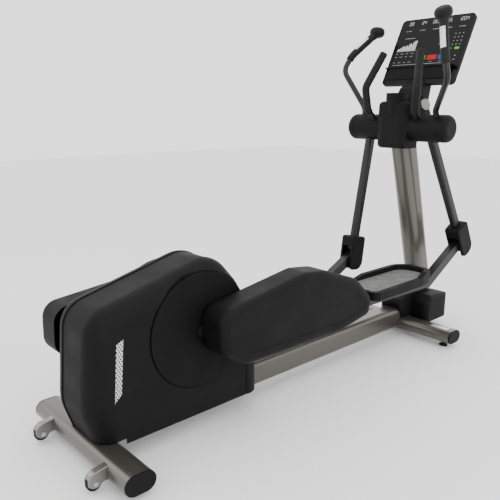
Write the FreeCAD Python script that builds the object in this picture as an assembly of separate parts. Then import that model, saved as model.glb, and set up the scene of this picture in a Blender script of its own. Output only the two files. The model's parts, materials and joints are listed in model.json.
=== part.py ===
import FreeCAD, Part
import math
import os

# Elliptical trainer, rear drive, with moving handlebars. Millimetres.
# +X is the user's right, +Y the way the user faces, +Z up. The origin is on the
# floor, in the middle of the machine's length and width.

V = FreeCAD.Vector
X_AXIS = V(1, 0, 0)
ZERO = V(0, 0, 0)

# ---------------------------------------------------------------- driving sizes
# Linkage. The crank turns about X at the rear and the swing arms hang from the
# pivot shaft at the head of the mast.
CRANK_Y = -607.0
CRANK_Z = 397.0
CRANK_THROW = 210.5
PIVOT_Y = 736.0
PIVOT_Z = 1075.0
SWING_LENGTH = 672.0
COUPLER_LENGTH = 1460.0

# Foot beams, centre beam and mast
REAR_FOOT_Y = -997.0
REAR_FOOT_Z = 55.0
REAR_FOOT_HALF = 322.0
REAR_FOOT_DEPTH = 111.0
REAR_FOOT_HEIGHT = 70.0
FRONT_FOOT_Y = 800.0
FRONT_FOOT_Z = 58.0
FRONT_FOOT_HALF = 342.0
FRONT_FOOT_DEPTH = 104.0
FRONT_FOOT_HEIGHT = 64.0
BEAM_HALF_WIDTH = 48.5
BEAM_BOTTOM = 35.0
BEAM_HEIGHT = 108.0
BEAM_CORNER = 24.0
MAST_WIDTH = 108.0
MAST_DEPTH = 124.0
MAST_CORNER = 44.0
MAST_LEAN = 15.7           # degrees, leaning back as it rises
MAST_AHEAD = 22.0          # mast's middle line, ahead of the pivot shaft
TUBE_WALL = 3.0
CAP_FLANGE = 8.0
CAP_PLUG = 22.0

# Levelling feet
FOOT_PAD_RADIUS = 21.0
FOOT_PAD_HEIGHT = 12.0
FOOT_STEM_RADIUS = 5.0
FOOT_BOSS_RADIUS = 12.0
REAR_FOOT_PAD_X = 262.0
FRONT_FOOT_PAD_X = 291.0

# Transport wheels
WHEEL_X = 196.0
WHEEL_BEHIND_FOOT = 91.0
WHEEL_Z = 35.0
WHEEL_RADIUS = 27.0
WHEEL_WIDTH = 18.0
WHEEL_AXLE_RADIUS = 5.0
WHEEL_SIDE_GAP = 1.5
BRACKET_CHEEK = 4.0
BRACKET_SHORT = 3.0        # the wheel shows this much behind its bracket
WHEEL_CLEARANCE = 2.5
BRACKET_ROOF = 7.5

# Drive housing
HOUSING_HALF = 131.0
HOUSING_ROUND = 64.0
HOUSING_WALL = 5.0
HOUSING_OVER_FOOT = 38.0   # how far the back stands behind the rear foot's middle
HOUSING_FLOOR = 72.0
SPINE_HALF = 64.0
SPINE_RECESS = 3.0
SEAM = 0.6
PANEL_INSET = 10.0
PANEL_RECESS = 2.5
DISC_MARGIN = 2.5          # disc radius beyond the crank pin's middle
DISC_RADIUS = CRANK_THROW + DISC_MARGIN
DISC_PROUD = 2.5
DISC_GAP = 3.0
DISC_THICKNESS = 5.0
VENT_BOTTOM = 231.0
VENT_TOP = 445.0
VENT_WIDTH = 26.0
VENT_BEHIND_CRANK = 336.0

# Drive inside the housing
SHAFT_RADIUS = 17.0
BEARING_RADIUS = 31.0
BEARING_WIDTH = 16.0
PLATE_THICKNESS = 6.0
PULLEY_RADIUS = 168.0
PULLEY_WIDTH = 22.0
FLYWHEEL_BEHIND_CRANK = 253.0
FLYWHEEL_DROP = 97.0
FLYWHEEL_RADIUS = 118.0
FLYWHEEL_WIDTH = 28.0
FLYWHEEL_PULLEY_RADIUS = 21.0
FLYWHEEL_AXLE_RADIUS = 8.5
BELT_THICKNESS = 4.0

# Crank arms. They stand outside the housing, between the disc and the pedal arm.
CRANK_SIDE_GAP = 3.5       # from the housing's side to the crank's tip
CRANK_TIP_THICKNESS = 8.0
CRANK_ARM_THICKNESS = 26.5
CRANK_TIP_INNER_X = HOUSING_HALF + CRANK_SIDE_GAP
CRANK_OUTER_X = CRANK_TIP_INNER_X + CRANK_TIP_THICKNESS
CRANK_ARM_INNER_X = CRANK_OUTER_X - CRANK_ARM_THICKNESS
CRANK_ARM_WIDTH = 44.0
OPEN_PIVOT_GAP = 3.5       # from the crank's tip to the pedal arm's bearing hub

# Pedal arms, measured from the crank pin with the right crank forward
ARM_FROM_CRANK = 47.5
ARM_X = CRANK_OUTER_X + ARM_FROM_CRANK     # middle plane of each pedal arm and swing arm
LINK_WIDTH = 40.0
LINK_DEPTH = 46.0
LINK_WALL = 3.0
LINK_SAG = 66.0            # the tube's middle under the crank pin at the pedal
HUB_RADIUS = 36.0
HUB_BORE = 20.0
COVER_REAR = 214.0
COVER_TRAY_GAP = 29.0      # from the cover's front to the tray
COVER_BELOW = 130.0
COVER_ABOVE = 130.0
COVER_OUTER_X = ARM_X + 76.0
COVER_ROUND = 32.0
COVER_WALL = 3.0
TRAY_INNER_X = ARM_X - 140.0
TRAY_OUTER_X = ARM_X + 72.0
TRAY_LENGTH = 480.0
TRAY_BEFORE_PIVOT = 330.0
TRAY_DEPTH = 34.0
TRAY_WALL = 5.0
TRAY_RIM = 24.0
TRAY_LIP = 23.0            # width of the rim round the tread
TREAD_THICKNESS = 5.0

# Swing arms
PIN_RADIUS = 10.0
EYE_RADIUS = 24.0
EYE_HALF = LINK_WIDTH / 2 + 2.0
EAR_THICKNESS = 7.0
SIDE_GAP = 1.0
ARM_DEPTH = 48.0
ARM_WIDTH = 36.0
ARM_WALL = 2.5
ARM_SPLAY = 26.0           # each arm's top stands this much further in than its lower end
BOOT_HALF_WIDTH = 41.0
BOOT_DEPTH = 98.0
BOOT_ABOVE = 102.0
BOOT_BELOW = 76.0
BOOT_WALL = 3.0
POD_RADIUS = 64.0
POD_WALL = 4.0
POD_HALF = ARM_X + 92.0
POD_FIXED_HALF = ARM_X - 44.0
POD_CAP_LENGTH = 40.0
PIVOT_SHAFT_RADIUS = 14.0
SLEEVE_RADIUS = 31.0
SLEEVE_WALL = 5.0
HANDLE_RADIUS = 14.0
HANDLE_WALL = 2.0
GRIP_RADIUS = 19.0
REST_RADIUS = 39.0         # the palm rest at the grip's end, a flattened ball
REST_HALF_HEIGHT = 25.0

# Mast base cover
COVER_HALF = 150.0
COVER_BOW = 82.0
COVER_LOW = 62.0
COVER_SHELL = 3.0

# Head: bottle holder, fixed handlebars and console
COLUMN_TOP_HALF = 92.0
COLUMN_LOW_HALF = 76.0
COLUMN_REAR = 81.0
COLUMN_ABOVE = 126.0
CUP_RADIUS = 46.0
CUP_WALL = 5.0
CUP_DEPTH = 92.0
CUP_ABOVE = 165.0
FIXED_BAR_RADIUS = 14.5
FIXED_GRIP_RADIUS = 18.5
CONSOLE_HALF = 205.0
CONSOLE_HEIGHT = 374.0
CONSOLE_TILT = 27.3
CONSOLE_FORWARD = 113.0    # bottom edge, ahead of the pivot shaft
CONSOLE_UP = 210.0         # bottom edge, above the pivot shaft
CONSOLE_THICKNESS = 30.0
CONSOLE_CORNER = 22.0
CONSOLE_HUMP = 26.0
CONSOLE_WALL = 3.0
GLASS_THICKNESS = 3.0
RACK_DEPTH = 24.0
RACK_UP = 88.0
DISPLAY_X = (-86.0, 46.0)  # the display window across the face
DISPLAY_UP = (168.0, 268.0)
NECK_HALF = 58.0
HOOD_HALF = 108.0
HOOD_ABOVE = 150.0

RUNNING_FIT = 0.05         # radial gap of a turning fit
CLEAR = 0.5                # gap between pieces of different bodies


# ---------------------------------------------------------------- plain geometry
def box(x, y, z):
    """A box from three (low, high) pairs."""
    return Part.makeBox(x[1] - x[0], y[1] - y[0], z[1] - z[0], V(x[0], y[0], z[0]))


def rod(start, end, radius):
    along = end - start
    return Part.makeCylinder(radius, along.Length, start, along)


def rod_x(y, z, radius, low, high):
    return Part.makeCylinder(radius, high - low, V(low, y, z), X_AXIS)


def ring_x(y, z, inner, outer, low, high):
    return rod_x(y, z, outer, low, high).cut(rod_x(y, z, inner, low, high))


def mirrored(shape):
    return shape.mirror(ZERO, X_AXIS)


def both(shape):
    """The shape and its mirror image across the middle plane, as one group."""
    return Part.makeCompound([shape, mirrored(shape)])


def fuse(shapes):
    whole = shapes[0].multiFuse(shapes[1:]) if len(shapes) > 1 else shapes[0]
    return whole.removeSplitter()


def rounded_path(corners, closed=True):
    """Straight runs joined by tangent arcs. Each corner is (point, arc radius)."""
    trims = []
    for i, (point, radius) in enumerate(corners):
        if radius == 0 or (not closed and i in (0, len(corners) - 1)):
            trims.append((point, None, point))
            continue
        back = (corners[i - 1][0] - point).normalize()
        ahead = (corners[(i + 1) % len(corners)][0] - point).normalize()
        half = back.getAngle(ahead) / 2
        cut = radius / math.tan(half)
        inward = (back + ahead).normalize()
        crown = point + inward * (radius / math.sin(half) - radius)
        trims.append((point + back * cut, crown, point + ahead * cut))
    edges = []
    for i, (start, crown, end) in enumerate(trims):
        if crown is not None:
            edges.append(Part.Arc(start, crown, end).toShape())
        if closed or i < len(trims) - 1:
            following = trims[(i + 1) % len(trims)][0]
            if end.distanceToPoint(following) > 1e-6:
                edges.append(Part.LineSegment(end, following).toShape())
    return Part.Wire(edges)


def side_face(outline, x=0.0):
    """A flat face across X from (y, z, corner radius) points."""
    return Part.Face(rounded_path([(V(x, y, z), r) for y, z, r in outline]))


def plan_face(outline, z=0.0):
    """A level face from (x, y, corner radius) points."""
    return Part.Face(rounded_path([(V(x, y, z), r) for x, y, r in outline]))


def slab_x(outline, low, high):
    return side_face(outline, low).extrude(V(high - low, 0, 0))


def slab_z(outline, low, high):
    return plan_face(outline, low).extrude(V(0, 0, high - low))


def rectangle(a, b, radius):
    return [(a[0], b[0], radius), (a[1], b[0], radius), (a[1], b[1], radius), (a[0], b[1], radius)]


def bar_x(y, z, depth, height, radius, low, high):
    """A rounded bar along X, centred on (y, z)."""
    outline = rectangle((y - depth / 2, y + depth / 2), (z - height / 2, z + height / 2), radius)
    return slab_x(outline, low, high)


def ribbon(points, depth):
    """The outline of a bent flat bar whose middle follows (y, z) points."""
    left, right = [], []
    for i, (y, z) in enumerate(points):
        before = points[max(i - 1, 0)]
        after = points[min(i + 1, len(points) - 1)]
        into = math.atan2(z - before[1], y - before[0]) if i else None
        out = math.atan2(after[1] - z, after[0] - y) if i < len(points) - 1 else None
        into = out if into is None else into
        out = into if out is None else out
        middle = (into + out) / 2
        reach = depth / 2 / math.cos((out - into) / 2)
        side = (-math.sin(middle) * reach, math.cos(middle) * reach)
        left.append((y + side[0], z + side[1]))
        right.append((y - side[0], z - side[1]))
    return left + right[::-1]


def bent_bar(points, depth, low, high, corner=0.0):
    """A flat bar that follows (y, z) points, from low to high in X."""
    return slab_x([(y, z, corner) for y, z in ribbon(points, depth)], low, high)


def sweep(corners, radius):
    """A round bar along a path of (point, bend radius) corners."""
    spine = rounded_path(corners, closed=False)
    start = corners[0][0]
    circle = Part.makeCircle(radius, start, corners[1][0] - start)
    return Part.Solid(spine.makePipeShell([Part.Wire([circle])], True, True).Shells[0])


def tube(corners, outer, inner):
    return sweep(corners, outer).cut(sweep(corners, inner))


def edges_on(solid, keep):
    """Edges whose ends and middle all pass the test."""
    found = []
    for edge in solid.Edges:
        middle = edge.valueAt((edge.FirstParameter + edge.LastParameter) / 2)
        if all(keep(p) for p in [v.Point for v in edge.Vertexes] + [middle]):
            found.append(edge)
    return found


def soften(solid, radius, keep):
    return solid.makeFillet(radius, edges_on(solid, keep))


def turned(shape, centre_y, centre_z, degrees):
    """The shape turned about an X line. Positive turns +Y towards +Z."""
    result = shape.copy()
    result.rotate(V(0, centre_y, centre_z), X_AXIS, degrees)
    return result


# ---------------------------------------------------------------- linkage at rest
def swing_pin(pin_y):
    """Where a swing arm's lower pin is, with that side's crank pin at pin_y."""
    across, up = PIVOT_Y - pin_y, PIVOT_Z - CRANK_Z
    apart = math.hypot(across, up)
    cosine = (apart**2 + SWING_LENGTH**2 - COUPLER_LENGTH**2) / (2 * apart * SWING_LENGTH)
    direction = math.atan2(-up, -across) + math.acos(cosine)
    return PIVOT_Y + SWING_LENGTH * math.cos(direction), PIVOT_Z + SWING_LENGTH * math.sin(direction)


RIGHT_PIN_Y = CRANK_Y + CRANK_THROW
LEFT_PIN_Y = CRANK_Y - CRANK_THROW
RIGHT_Q = swing_pin(RIGHT_PIN_Y)
LEFT_Q = swing_pin(LEFT_PIN_Y)


def swing_angle(pin):
    """Degrees a swing arm is turned forward from hanging straight down."""
    return math.degrees(math.atan2(pin[0] - PIVOT_Y, PIVOT_Z - pin[1]))


def coupler_tilt(pin_y, pin):
    return math.degrees(math.atan2(pin[1] - CRANK_Z, pin[0] - pin_y))


SWING_RIGHT = swing_angle(RIGHT_Q)
SWING_LEFT = swing_angle(LEFT_Q)
TILT_RIGHT = coupler_tilt(RIGHT_PIN_Y, RIGHT_Q)
TILT_LEFT = coupler_tilt(LEFT_PIN_Y, LEFT_Q)
PIN_AHEAD = RIGHT_Q[0] - RIGHT_PIN_Y      # lower swing pin, from the crank pin
PIN_ABOVE = RIGHT_Q[1] - CRANK_Z


def place_swing(shape, side):
    """A swing arm is drawn hanging straight down from (0, 0), on the right."""
    shape = shape if side > 0 else mirrored(shape)
    shape = turned(shape, 0, 0, SWING_RIGHT if side > 0 else SWING_LEFT)
    shape.translate(V(0, PIVOT_Y, PIVOT_Z))
    return shape


def place_pedal(shape, side):
    """A pedal arm is drawn from its crank pin at (0, 0), on the right."""
    shape = shape if side > 0 else mirrored(shape)
    shape = turned(shape, 0, 0, 0.0 if side > 0 else TILT_LEFT - TILT_RIGHT)
    shape.translate(V(0, RIGHT_PIN_Y if side > 0 else LEFT_PIN_Y, CRANK_Z))
    return shape


# ---------------------------------------------------------------- frame
def mast_line(z):
    """The mast's middle, in Y, at a height."""
    return PIVOT_Y + (PIVOT_Z - z) * math.tan(math.radians(MAST_LEAN)) + MAST_AHEAD


BEAM_TOP = BEAM_BOTTOM + BEAM_HEIGHT
BEAM_FRONT_Y = mast_line(BEAM_TOP) + MAST_DEPTH / 2 + 8


def foot_bar(y, z, half, depth, height, shrink):
    return bar_x(y, z, depth - 2 * shrink, height - 2 * shrink, height / 2 - shrink - 0.01, -half, half)


def foot_beam(y, z, half, depth, height, pad_x):
    """A flat-oval tube with a threaded boss for each levelling foot."""
    hollow = foot_bar(y, z, half, depth, height, 0).cut(foot_bar(y, z, half, depth, height, TUBE_WALL))
    bottom = z - height / 2
    boss = rod(V(pad_x, y, bottom + 1), V(pad_x, y, bottom + 30), FOOT_BOSS_RADIUS)
    bore = rod(V(pad_x, y, bottom - 1), V(pad_x, y, bottom + 31), FOOT_STEM_RADIUS + RUNNING_FIT)
    beam = fuse([hollow, boss, mirrored(boss)])
    return beam.cut(Part.makeCompound([bore, mirrored(bore)]))


def rear_foot_solid():
    return foot_bar(REAR_FOOT_Y, REAR_FOOT_Z, REAR_FOOT_HALF, REAR_FOOT_DEPTH, REAR_FOOT_HEIGHT, 0)


def front_foot_solid():
    return foot_bar(FRONT_FOOT_Y, FRONT_FOOT_Z, FRONT_FOOT_HALF, FRONT_FOOT_DEPTH, FRONT_FOOT_HEIGHT, 0)


def end_cap(y, z, half, depth, height):
    """A moulded cap: a flange outside the tube and a plug inside it."""
    flange = bar_x(y, z, depth, height, height / 2 - 0.01, half, half + CAP_FLANGE)
    flange = soften(flange, 3.0, lambda p: p.x > half + CAP_FLANGE - 0.01)
    shrink = TUBE_WALL
    plug = bar_x(y, z, depth - 2 * shrink, height - 2 * shrink, height / 2 - shrink - 0.01,
                 half - CAP_PLUG, half)
    return fuse([flange, plug])


def beam_end_caps():
    rear = end_cap(REAR_FOOT_Y, REAR_FOOT_Z, REAR_FOOT_HALF, REAR_FOOT_DEPTH, REAR_FOOT_HEIGHT)
    front = end_cap(FRONT_FOOT_Y, FRONT_FOOT_Z, FRONT_FOOT_HALF, FRONT_FOOT_DEPTH, FRONT_FOOT_HEIGHT)
    return Part.makeCompound([rear, mirrored(rear), front, mirrored(front)])


def beam_bar(shrink, rear, front):
    half = BEAM_HALF_WIDTH - shrink
    z = (BEAM_BOTTOM + shrink, BEAM_BOTTOM + BEAM_HEIGHT - shrink)
    outline = [(V(x, rear, zz), BEAM_CORNER - shrink) for x, zz, _ in rectangle((-half, half), z, 0)]
    return Part.Face(rounded_path(outline)).extrude(V(0, front - rear, 0))


def centre_beam():
    """The long box beam, shaped at both ends to sit over the foot beams."""
    rear = REAR_FOOT_Y + REAR_FOOT_DEPTH / 8
    tube_part = beam_bar(0, rear, BEAM_FRONT_Y).cut(beam_bar(TUBE_WALL, rear, BEAM_FRONT_Y - TUBE_WALL))
    return tube_part.cut(rear_foot_solid()).cut(front_foot_solid())


def mast_bar(shrink, low, high):
    half, deep = MAST_WIDTH / 2 - shrink, MAST_DEPTH / 2 - shrink
    base = plan_face(rectangle((-half, half), (mast_line(low) - deep, mast_line(low) + deep),
                               MAST_CORNER - shrink), low)
    return base.extrude(V(0, mast_line(high) - mast_line(low), high - low))


def upright_mast():
    low, high = BEAM_TOP, PIVOT_Z
    mast = mast_bar(0, low, high).cut(mast_bar(TUBE_WALL, low, high - TUBE_WALL))
    shaft = rod_x(PIVOT_Y, PIVOT_Z, PIVOT_SHAFT_RADIUS, -POD_HALF, POD_HALF)
    return mast.cut(shaft)


def levelling_foot(x, y, beam_bottom):
    pad = Part.makeCylinder(FOOT_PAD_RADIUS, FOOT_PAD_HEIGHT * 0.6, V(x, y, 0))
    cone = Part.makeCone(FOOT_PAD_RADIUS, FOOT_PAD_RADIUS * 0.55, FOOT_PAD_HEIGHT * 0.4,
                         V(x, y, FOOT_PAD_HEIGHT * 0.6))
    stem = rod(V(x, y, FOOT_PAD_HEIGHT), V(x, y, beam_bottom + 26), FOOT_STEM_RADIUS)
    return fuse([pad, cone, stem])


# ---------------------------------------------------------------- transport wheels
def wheel_bracket():
    """A curved fork that leaves the rear foot beam and drops over the wheel."""
    y, z = REAR_FOOT_Y - WHEEL_BEHIND_FOOT, WHEEL_Z
    reach = WHEEL_RADIUS - BRACKET_SHORT
    roof = z + WHEEL_RADIUS + WHEEL_CLEARANCE + BRACKET_ROOF
    outer = WHEEL_X + WHEEL_WIDTH / 2 + WHEEL_SIDE_GAP + BRACKET_CHEEK
    inner = WHEEL_X - WHEEL_WIDTH / 2 - WHEEL_SIDE_GAP - BRACKET_CHEEK
    beam_back = REAR_FOOT_Y - REAR_FOOT_DEPTH / 2
    top = REAR_FOOT_Z + REAR_FOOT_HEIGHT / 2 - 6
    outline = [(y - reach, z - 2, 6), (y - reach - 2, roof - 3, 30), (y + 16, roof + 4, 30),
               (beam_back + 34, top, 6), (beam_back + 34, z - 4, 4), (beam_back - 8, z - 2, 18),
               (y + 13, z - 15, 9), (y - 9, z - 15, 11)]
    cheeks = slab_x(outline, inner, outer)
    well_radius = WHEEL_RADIUS + WHEEL_CLEARANCE
    well = rod_x(y, z, well_radius, inner + BRACKET_CHEEK, outer - BRACKET_CHEEK)
    below = box((inner + BRACKET_CHEEK, outer - BRACKET_CHEEK), (y - 2 * well_radius, y + well_radius), (0, z))
    axle = rod_x(y, z, WHEEL_AXLE_RADIUS, inner - 1, outer + 1)
    cheeks = soften(cheeks, 2.5, lambda p: abs(abs(p.x - WHEEL_X) - (outer - WHEEL_X)) < 0.01 and p.y < beam_back - 4)
    return cheeks.cut(well).cut(below).cut(axle).cut(rear_foot_solid())


def wheel_axle():
    y, z = REAR_FOOT_Y - WHEEL_BEHIND_FOOT, WHEEL_Z
    half = WHEEL_WIDTH / 2 + WHEEL_SIDE_GAP + BRACKET_CHEEK
    pin = rod_x(y, z, WHEEL_AXLE_RADIUS, WHEEL_X - half, WHEEL_X + half)
    head = rod_x(y, z, WHEEL_AXLE_RADIUS + 2.5, WHEEL_X + half, WHEEL_X + half + 2)
    nut = rod_x(y, z, WHEEL_AXLE_RADIUS + 3.5, WHEEL_X - half - 4, WHEEL_X - half)
    socket = rod_x(y, z, 2.5, WHEEL_X + half, WHEEL_X + half + 3)
    return fuse([pin, head, nut]).cut(socket)


def transport_wheel():
    y, z = REAR_FOOT_Y - WHEEL_BEHIND_FOOT, WHEEL_Z
    low, high = WHEEL_X - WHEEL_WIDTH / 2, WHEEL_X + WHEEL_WIDTH / 2
    tyre = rod_x(y, z, WHEEL_RADIUS, low, high)
    tyre = soften(tyre, 4.0, lambda p: math.hypot(p.y - y, p.z - z) > WHEEL_RADIUS - 0.01)
    return tyre.cut(rod_x(y, z, WHEEL_AXLE_RADIUS + RUNNING_FIT, low - 1, high + 1))


# ---------------------------------------------------------------- housing
def housing_outline():
    """The housing's side, fitted round the crank disc and down to the beams."""
    crest = CRANK_Z + DISC_RADIUS + 52
    front = CRANK_Y + DISC_RADIUS
    rear = REAR_FOOT_Y - HOUSING_OVER_FOOT
    return [(front + 82, -60, 45), (front + 77, CRANK_Z - 177, 170), (front - 6, CRANK_Z + 129, 150),
            (CRANK_Y + 88, crest, 130), (rear + 2, CRANK_Z + 133, 100), (rear - 24, CRANK_Z - 200, 170),
            (rear + 62, -60, 45)]


def housing_block(shrink, wider=0.0):
    half = HOUSING_HALF - shrink + wider
    face = side_face(housing_outline(), -half)
    if shrink:
        face = Part.Face(face.OuterWire.makeOffset2D(-shrink))
    block = face.extrude(V(2 * half, 0, 0))
    return soften(block, HOUSING_ROUND - shrink, lambda p: abs(p.x) > half - 0.01)


def housing_shell(shrink):
    shell = housing_block(shrink).cut(housing_block(shrink + HOUSING_WALL))
    under = box((-200, 200), (REAR_FOOT_Y - 200, CRANK_Y + 500), (-200, HOUSING_FLOOR))
    saddle_top = REAR_FOOT_Z + REAR_FOOT_HEIGHT / 2 + 2
    saddle = box((-200, 200), (REAR_FOOT_Y - 200, REAR_FOOT_Y + REAR_FOOT_DEPTH / 2 + 15), (-200, saddle_top))
    opening = beam_bar(-1.5, CRANK_Y, BEAM_FRONT_Y)
    return shell.cut(under).cut(saddle).cut(opening)


def vent_outline(margin):
    """The slanted strip behind the crank, cut off at 45 degrees at each end."""
    y = CRANK_Y - VENT_BEHIND_CRANK
    half, slope = VENT_WIDTH / 2 - margin, 8.0
    return [(y + half - slope, VENT_BOTTOM + VENT_WIDTH + margin, 2), (y + half + slope, VENT_TOP - margin, 2),
            (y - half + slope, VENT_TOP - VENT_WIDTH / 2 - margin, 2), (y - half - slope, VENT_BOTTOM + margin, 2)]


def shroud():
    """The right side of the housing, with its shallow panel and disc opening."""
    side = box((SPINE_HALF + SEAM / 2, 200), (-1400, 200), (-100, 900))
    shell = housing_shell(0).common(side)
    opening = rod_x(CRANK_Y, CRANK_Z, DISC_RADIUS + DISC_GAP, 60, 200)
    face = side_face(housing_outline(), HOUSING_HALF - PANEL_RECESS)
    panel = Part.Face(face.OuterWire.makeOffset2D(-HOUSING_ROUND - PANEL_INSET))
    panel = soften(panel.extrude(V(10, 0, 0)), PANEL_RECESS * 0.8, lambda p: p.x < HOUSING_HALF - PANEL_RECESS + 0.01)
    vent = slab_x(vent_outline(0), HOUSING_HALF - HOUSING_WALL - 0.5, HOUSING_HALF + 5)
    return shell.cut(opening).cut(panel).cut(vent)


def vent_grille():
    """A strip with rows of slots, clipped into the shroud's opening."""
    strip = slab_x(vent_outline(0.0), HOUSING_HALF - HOUSING_WALL, HOUSING_HALF - 0.4)
    rows = 16
    pitch = (VENT_TOP - VENT_BOTTOM - 2 * VENT_WIDTH) / rows
    slots = []
    for i in range(rows):
        z = VENT_BOTTOM + VENT_WIDTH + pitch * (i + 0.5)
        y = CRANK_Y - VENT_BEHIND_CRANK + 16 * (z - (VENT_TOP + VENT_BOTTOM) / 2) / (VENT_TOP - VENT_BOTTOM)
        slots.append(box((100, 150), (y - 8.5, y + 8.5), (z - pitch * 0.28, z + pitch * 0.28)))
    return strip.cut(Part.makeCompound(slots))


def shroud_spine():
    """The band over the top and back, between the two sides."""
    half = SPINE_HALF - SEAM / 2
    return housing_shell(SPINE_RECESS).common(box((-half, half), (-1400, 200), (-100, 900)))


def side_plate():
    """One of the two plates, on the beam's flanks, that carry the bearings."""
    low = BEAM_HALF_WIDTH
    axle_y, axle_z = CRANK_Y - FLYWHEEL_BEHIND_CRANK, CRANK_Z - FLYWHEEL_DROP
    outline = [(CRANK_Y + 90, BEAM_BOTTOM + BEAM_CORNER, 6), (CRANK_Y + 48, CRANK_Z + 20, 40),
               (CRANK_Y - 20, CRANK_Z + 62, 40), (axle_y - 30, axle_z + 52, 40),
               (axle_y - 50, BEAM_BOTTOM + BEAM_CORNER, 6)]
    plate = slab_x(outline, low, low + PLATE_THICKNESS)
    window = slab_x([(CRANK_Y - 30, 175, 20), (CRANK_Y - 60, CRANK_Z - 70, 20),
                     (axle_y + 60, axle_z - 20, 20), (axle_y + 30, 175, 20)], low - 1, low + 20)
    shaft = rod_x(CRANK_Y, CRANK_Z, BEARING_RADIUS, low - 1, low + 20)
    axle = rod_x(axle_y, axle_z, FLYWHEEL_AXLE_RADIUS + RUNNING_FIT, low - 1, low + 20)
    return plate.cut(window).cut(shaft).cut(axle)


def crank_bearing():
    middle = BEAM_HALF_WIDTH + PLATE_THICKNESS / 2
    return ring_x(CRANK_Y, CRANK_Z, SHAFT_RADIUS + RUNNING_FIT, BEARING_RADIUS,
                  middle - BEARING_WIDTH / 2, middle + BEARING_WIDTH / 2)


def generator():
    """A stator on the left plate, round the flywheel's axle."""
    y, z = CRANK_Y - FLYWHEEL_BEHIND_CRANK, CRANK_Z - FLYWHEEL_DROP
    stator = ring_x(y, z, FLYWHEEL_AXLE_RADIUS + 4, 72, -BEAM_HALF_WIDTH, -BEAM_HALF_WIDTH + 28)
    core = ring_x(y, z, FLYWHEEL_AXLE_RADIUS + 4, 58, -BEAM_HALF_WIDTH + 28, -BEAM_HALF_WIDTH + 32)
    return fuse([stator, core])


def wrapped(shrink_big, shrink_small, low, high):
    """The outline of a belt round the two pulleys, as one solid."""
    big = PULLEY_RADIUS + shrink_big
    small = FLYWHEEL_PULLEY_RADIUS + shrink_small
    apart = math.hypot(FLYWHEEL_BEHIND_CRANK, FLYWHEEL_DROP)
    along = math.atan2(-FLYWHEEL_DROP, -FLYWHEEL_BEHIND_CRANK)
    open_angle = math.acos((big - small) / apart)
    y1, z1 = CRANK_Y, CRANK_Z
    y2, z2 = CRANK_Y - FLYWHEEL_BEHIND_CRANK, CRANK_Z - FLYWHEEL_DROP
    corners = []
    for y, z, r, sign in ((y1, z1, big, 1), (y2, z2, small, 1), (y2, z2, small, -1), (y1, z1, big, -1)):
        a = along + sign * open_angle
        corners.append(V(low, y + r * math.cos(a), z + r * math.sin(a)))
    far_small = V(low, y2 + small * math.cos(along), z2 + small * math.sin(along))
    far_big = V(low, y1 - big * math.cos(along), z1 - big * math.sin(along))
    wire = Part.Wire([Part.LineSegment(corners[0], corners[1]).toShape(),
                      Part.Arc(corners[1], far_small, corners[2]).toShape(),
                      Part.LineSegment(corners[2], corners[3]).toShape(),
                      Part.Arc(corners[3], far_big, corners[0]).toShape()])
    return Part.Face(wire).extrude(V(high - low, 0, 0))


def drive_belt():
    half = PULLEY_WIDTH / 2 - 2
    gap = 0.3
    outer = wrapped(gap + BELT_THICKNESS, gap + BELT_THICKNESS, -half, half)
    return outer.cut(wrapped(gap, gap, -half - 1, half + 1))


def flywheel():
    y, z = CRANK_Y - FLYWHEEL_BEHIND_CRANK, CRANK_Z - FLYWHEEL_DROP
    low = PULLEY_WIDTH / 2 + 4
    reach = BEAM_HALF_WIDTH + PLATE_THICKNESS
    rim = ring_x(y, z, FLYWHEEL_RADIUS - 30, FLYWHEEL_RADIUS, low, low + FLYWHEEL_WIDTH)
    web = rod_x(y, z, FLYWHEEL_RADIUS - 29, low + 8, low + 18)
    pulley = rod_x(y, z, FLYWHEEL_PULLEY_RADIUS, -PULLEY_WIDTH / 2, low + 8)
    axle = rod_x(y, z, FLYWHEEL_AXLE_RADIUS, -reach, reach)
    return fuse([rim, web, pulley, axle])


# ---------------------------------------------------------------- crank
def crank_shaft():
    return rod_x(CRANK_Y, CRANK_Z, SHAFT_RADIUS, -CRANK_OUTER_X, CRANK_OUTER_X)


def crank_arm():
    """The right arm, pointing forward. Its tip passes outside the housing's side."""
    half = CRANK_ARM_WIDTH / 2
    root_reach = DISC_RADIUS - half - 4
    root = slab_x(rectangle((CRANK_Y - half, CRANK_Y + root_reach), (CRANK_Z - half, CRANK_Z + half), half - 1),
                  CRANK_ARM_INNER_X, CRANK_OUTER_X)
    tip = slab_x(rectangle((CRANK_Y, CRANK_Y + CRANK_THROW + half), (CRANK_Z - half, CRANK_Z + half), half - 1),
                 CRANK_TIP_INNER_X, CRANK_OUTER_X)
    pin = rod_x(RIGHT_PIN_Y, CRANK_Z, HUB_BORE - 4, CRANK_OUTER_X, CRANK_OUTER_X + 1.5)
    return fuse([root, tip, pin]).cut(crank_shaft())


def rear_facing(shape):
    """The same piece half a turn further round the crank axis."""
    return turned(shape, CRANK_Y, CRANK_Z, 180)


def crank_arms():
    return Part.makeCompound([crank_arm(), rear_facing(mirrored(crank_arm()))])


def crank_disc():
    outer_x = HOUSING_HALF + DISC_PROUD
    plate = rod_x(CRANK_Y, CRANK_Z, DISC_RADIUS, outer_x - DISC_THICKNESS, outer_x)
    plate = soften(plate, 2.0, lambda p: p.x > outer_x - 0.01)
    return plate.cut(crank_arm()).cut(crank_shaft())


def crank_discs():
    return Part.makeCompound([crank_disc(), rear_facing(mirrored(crank_disc()))])


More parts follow.
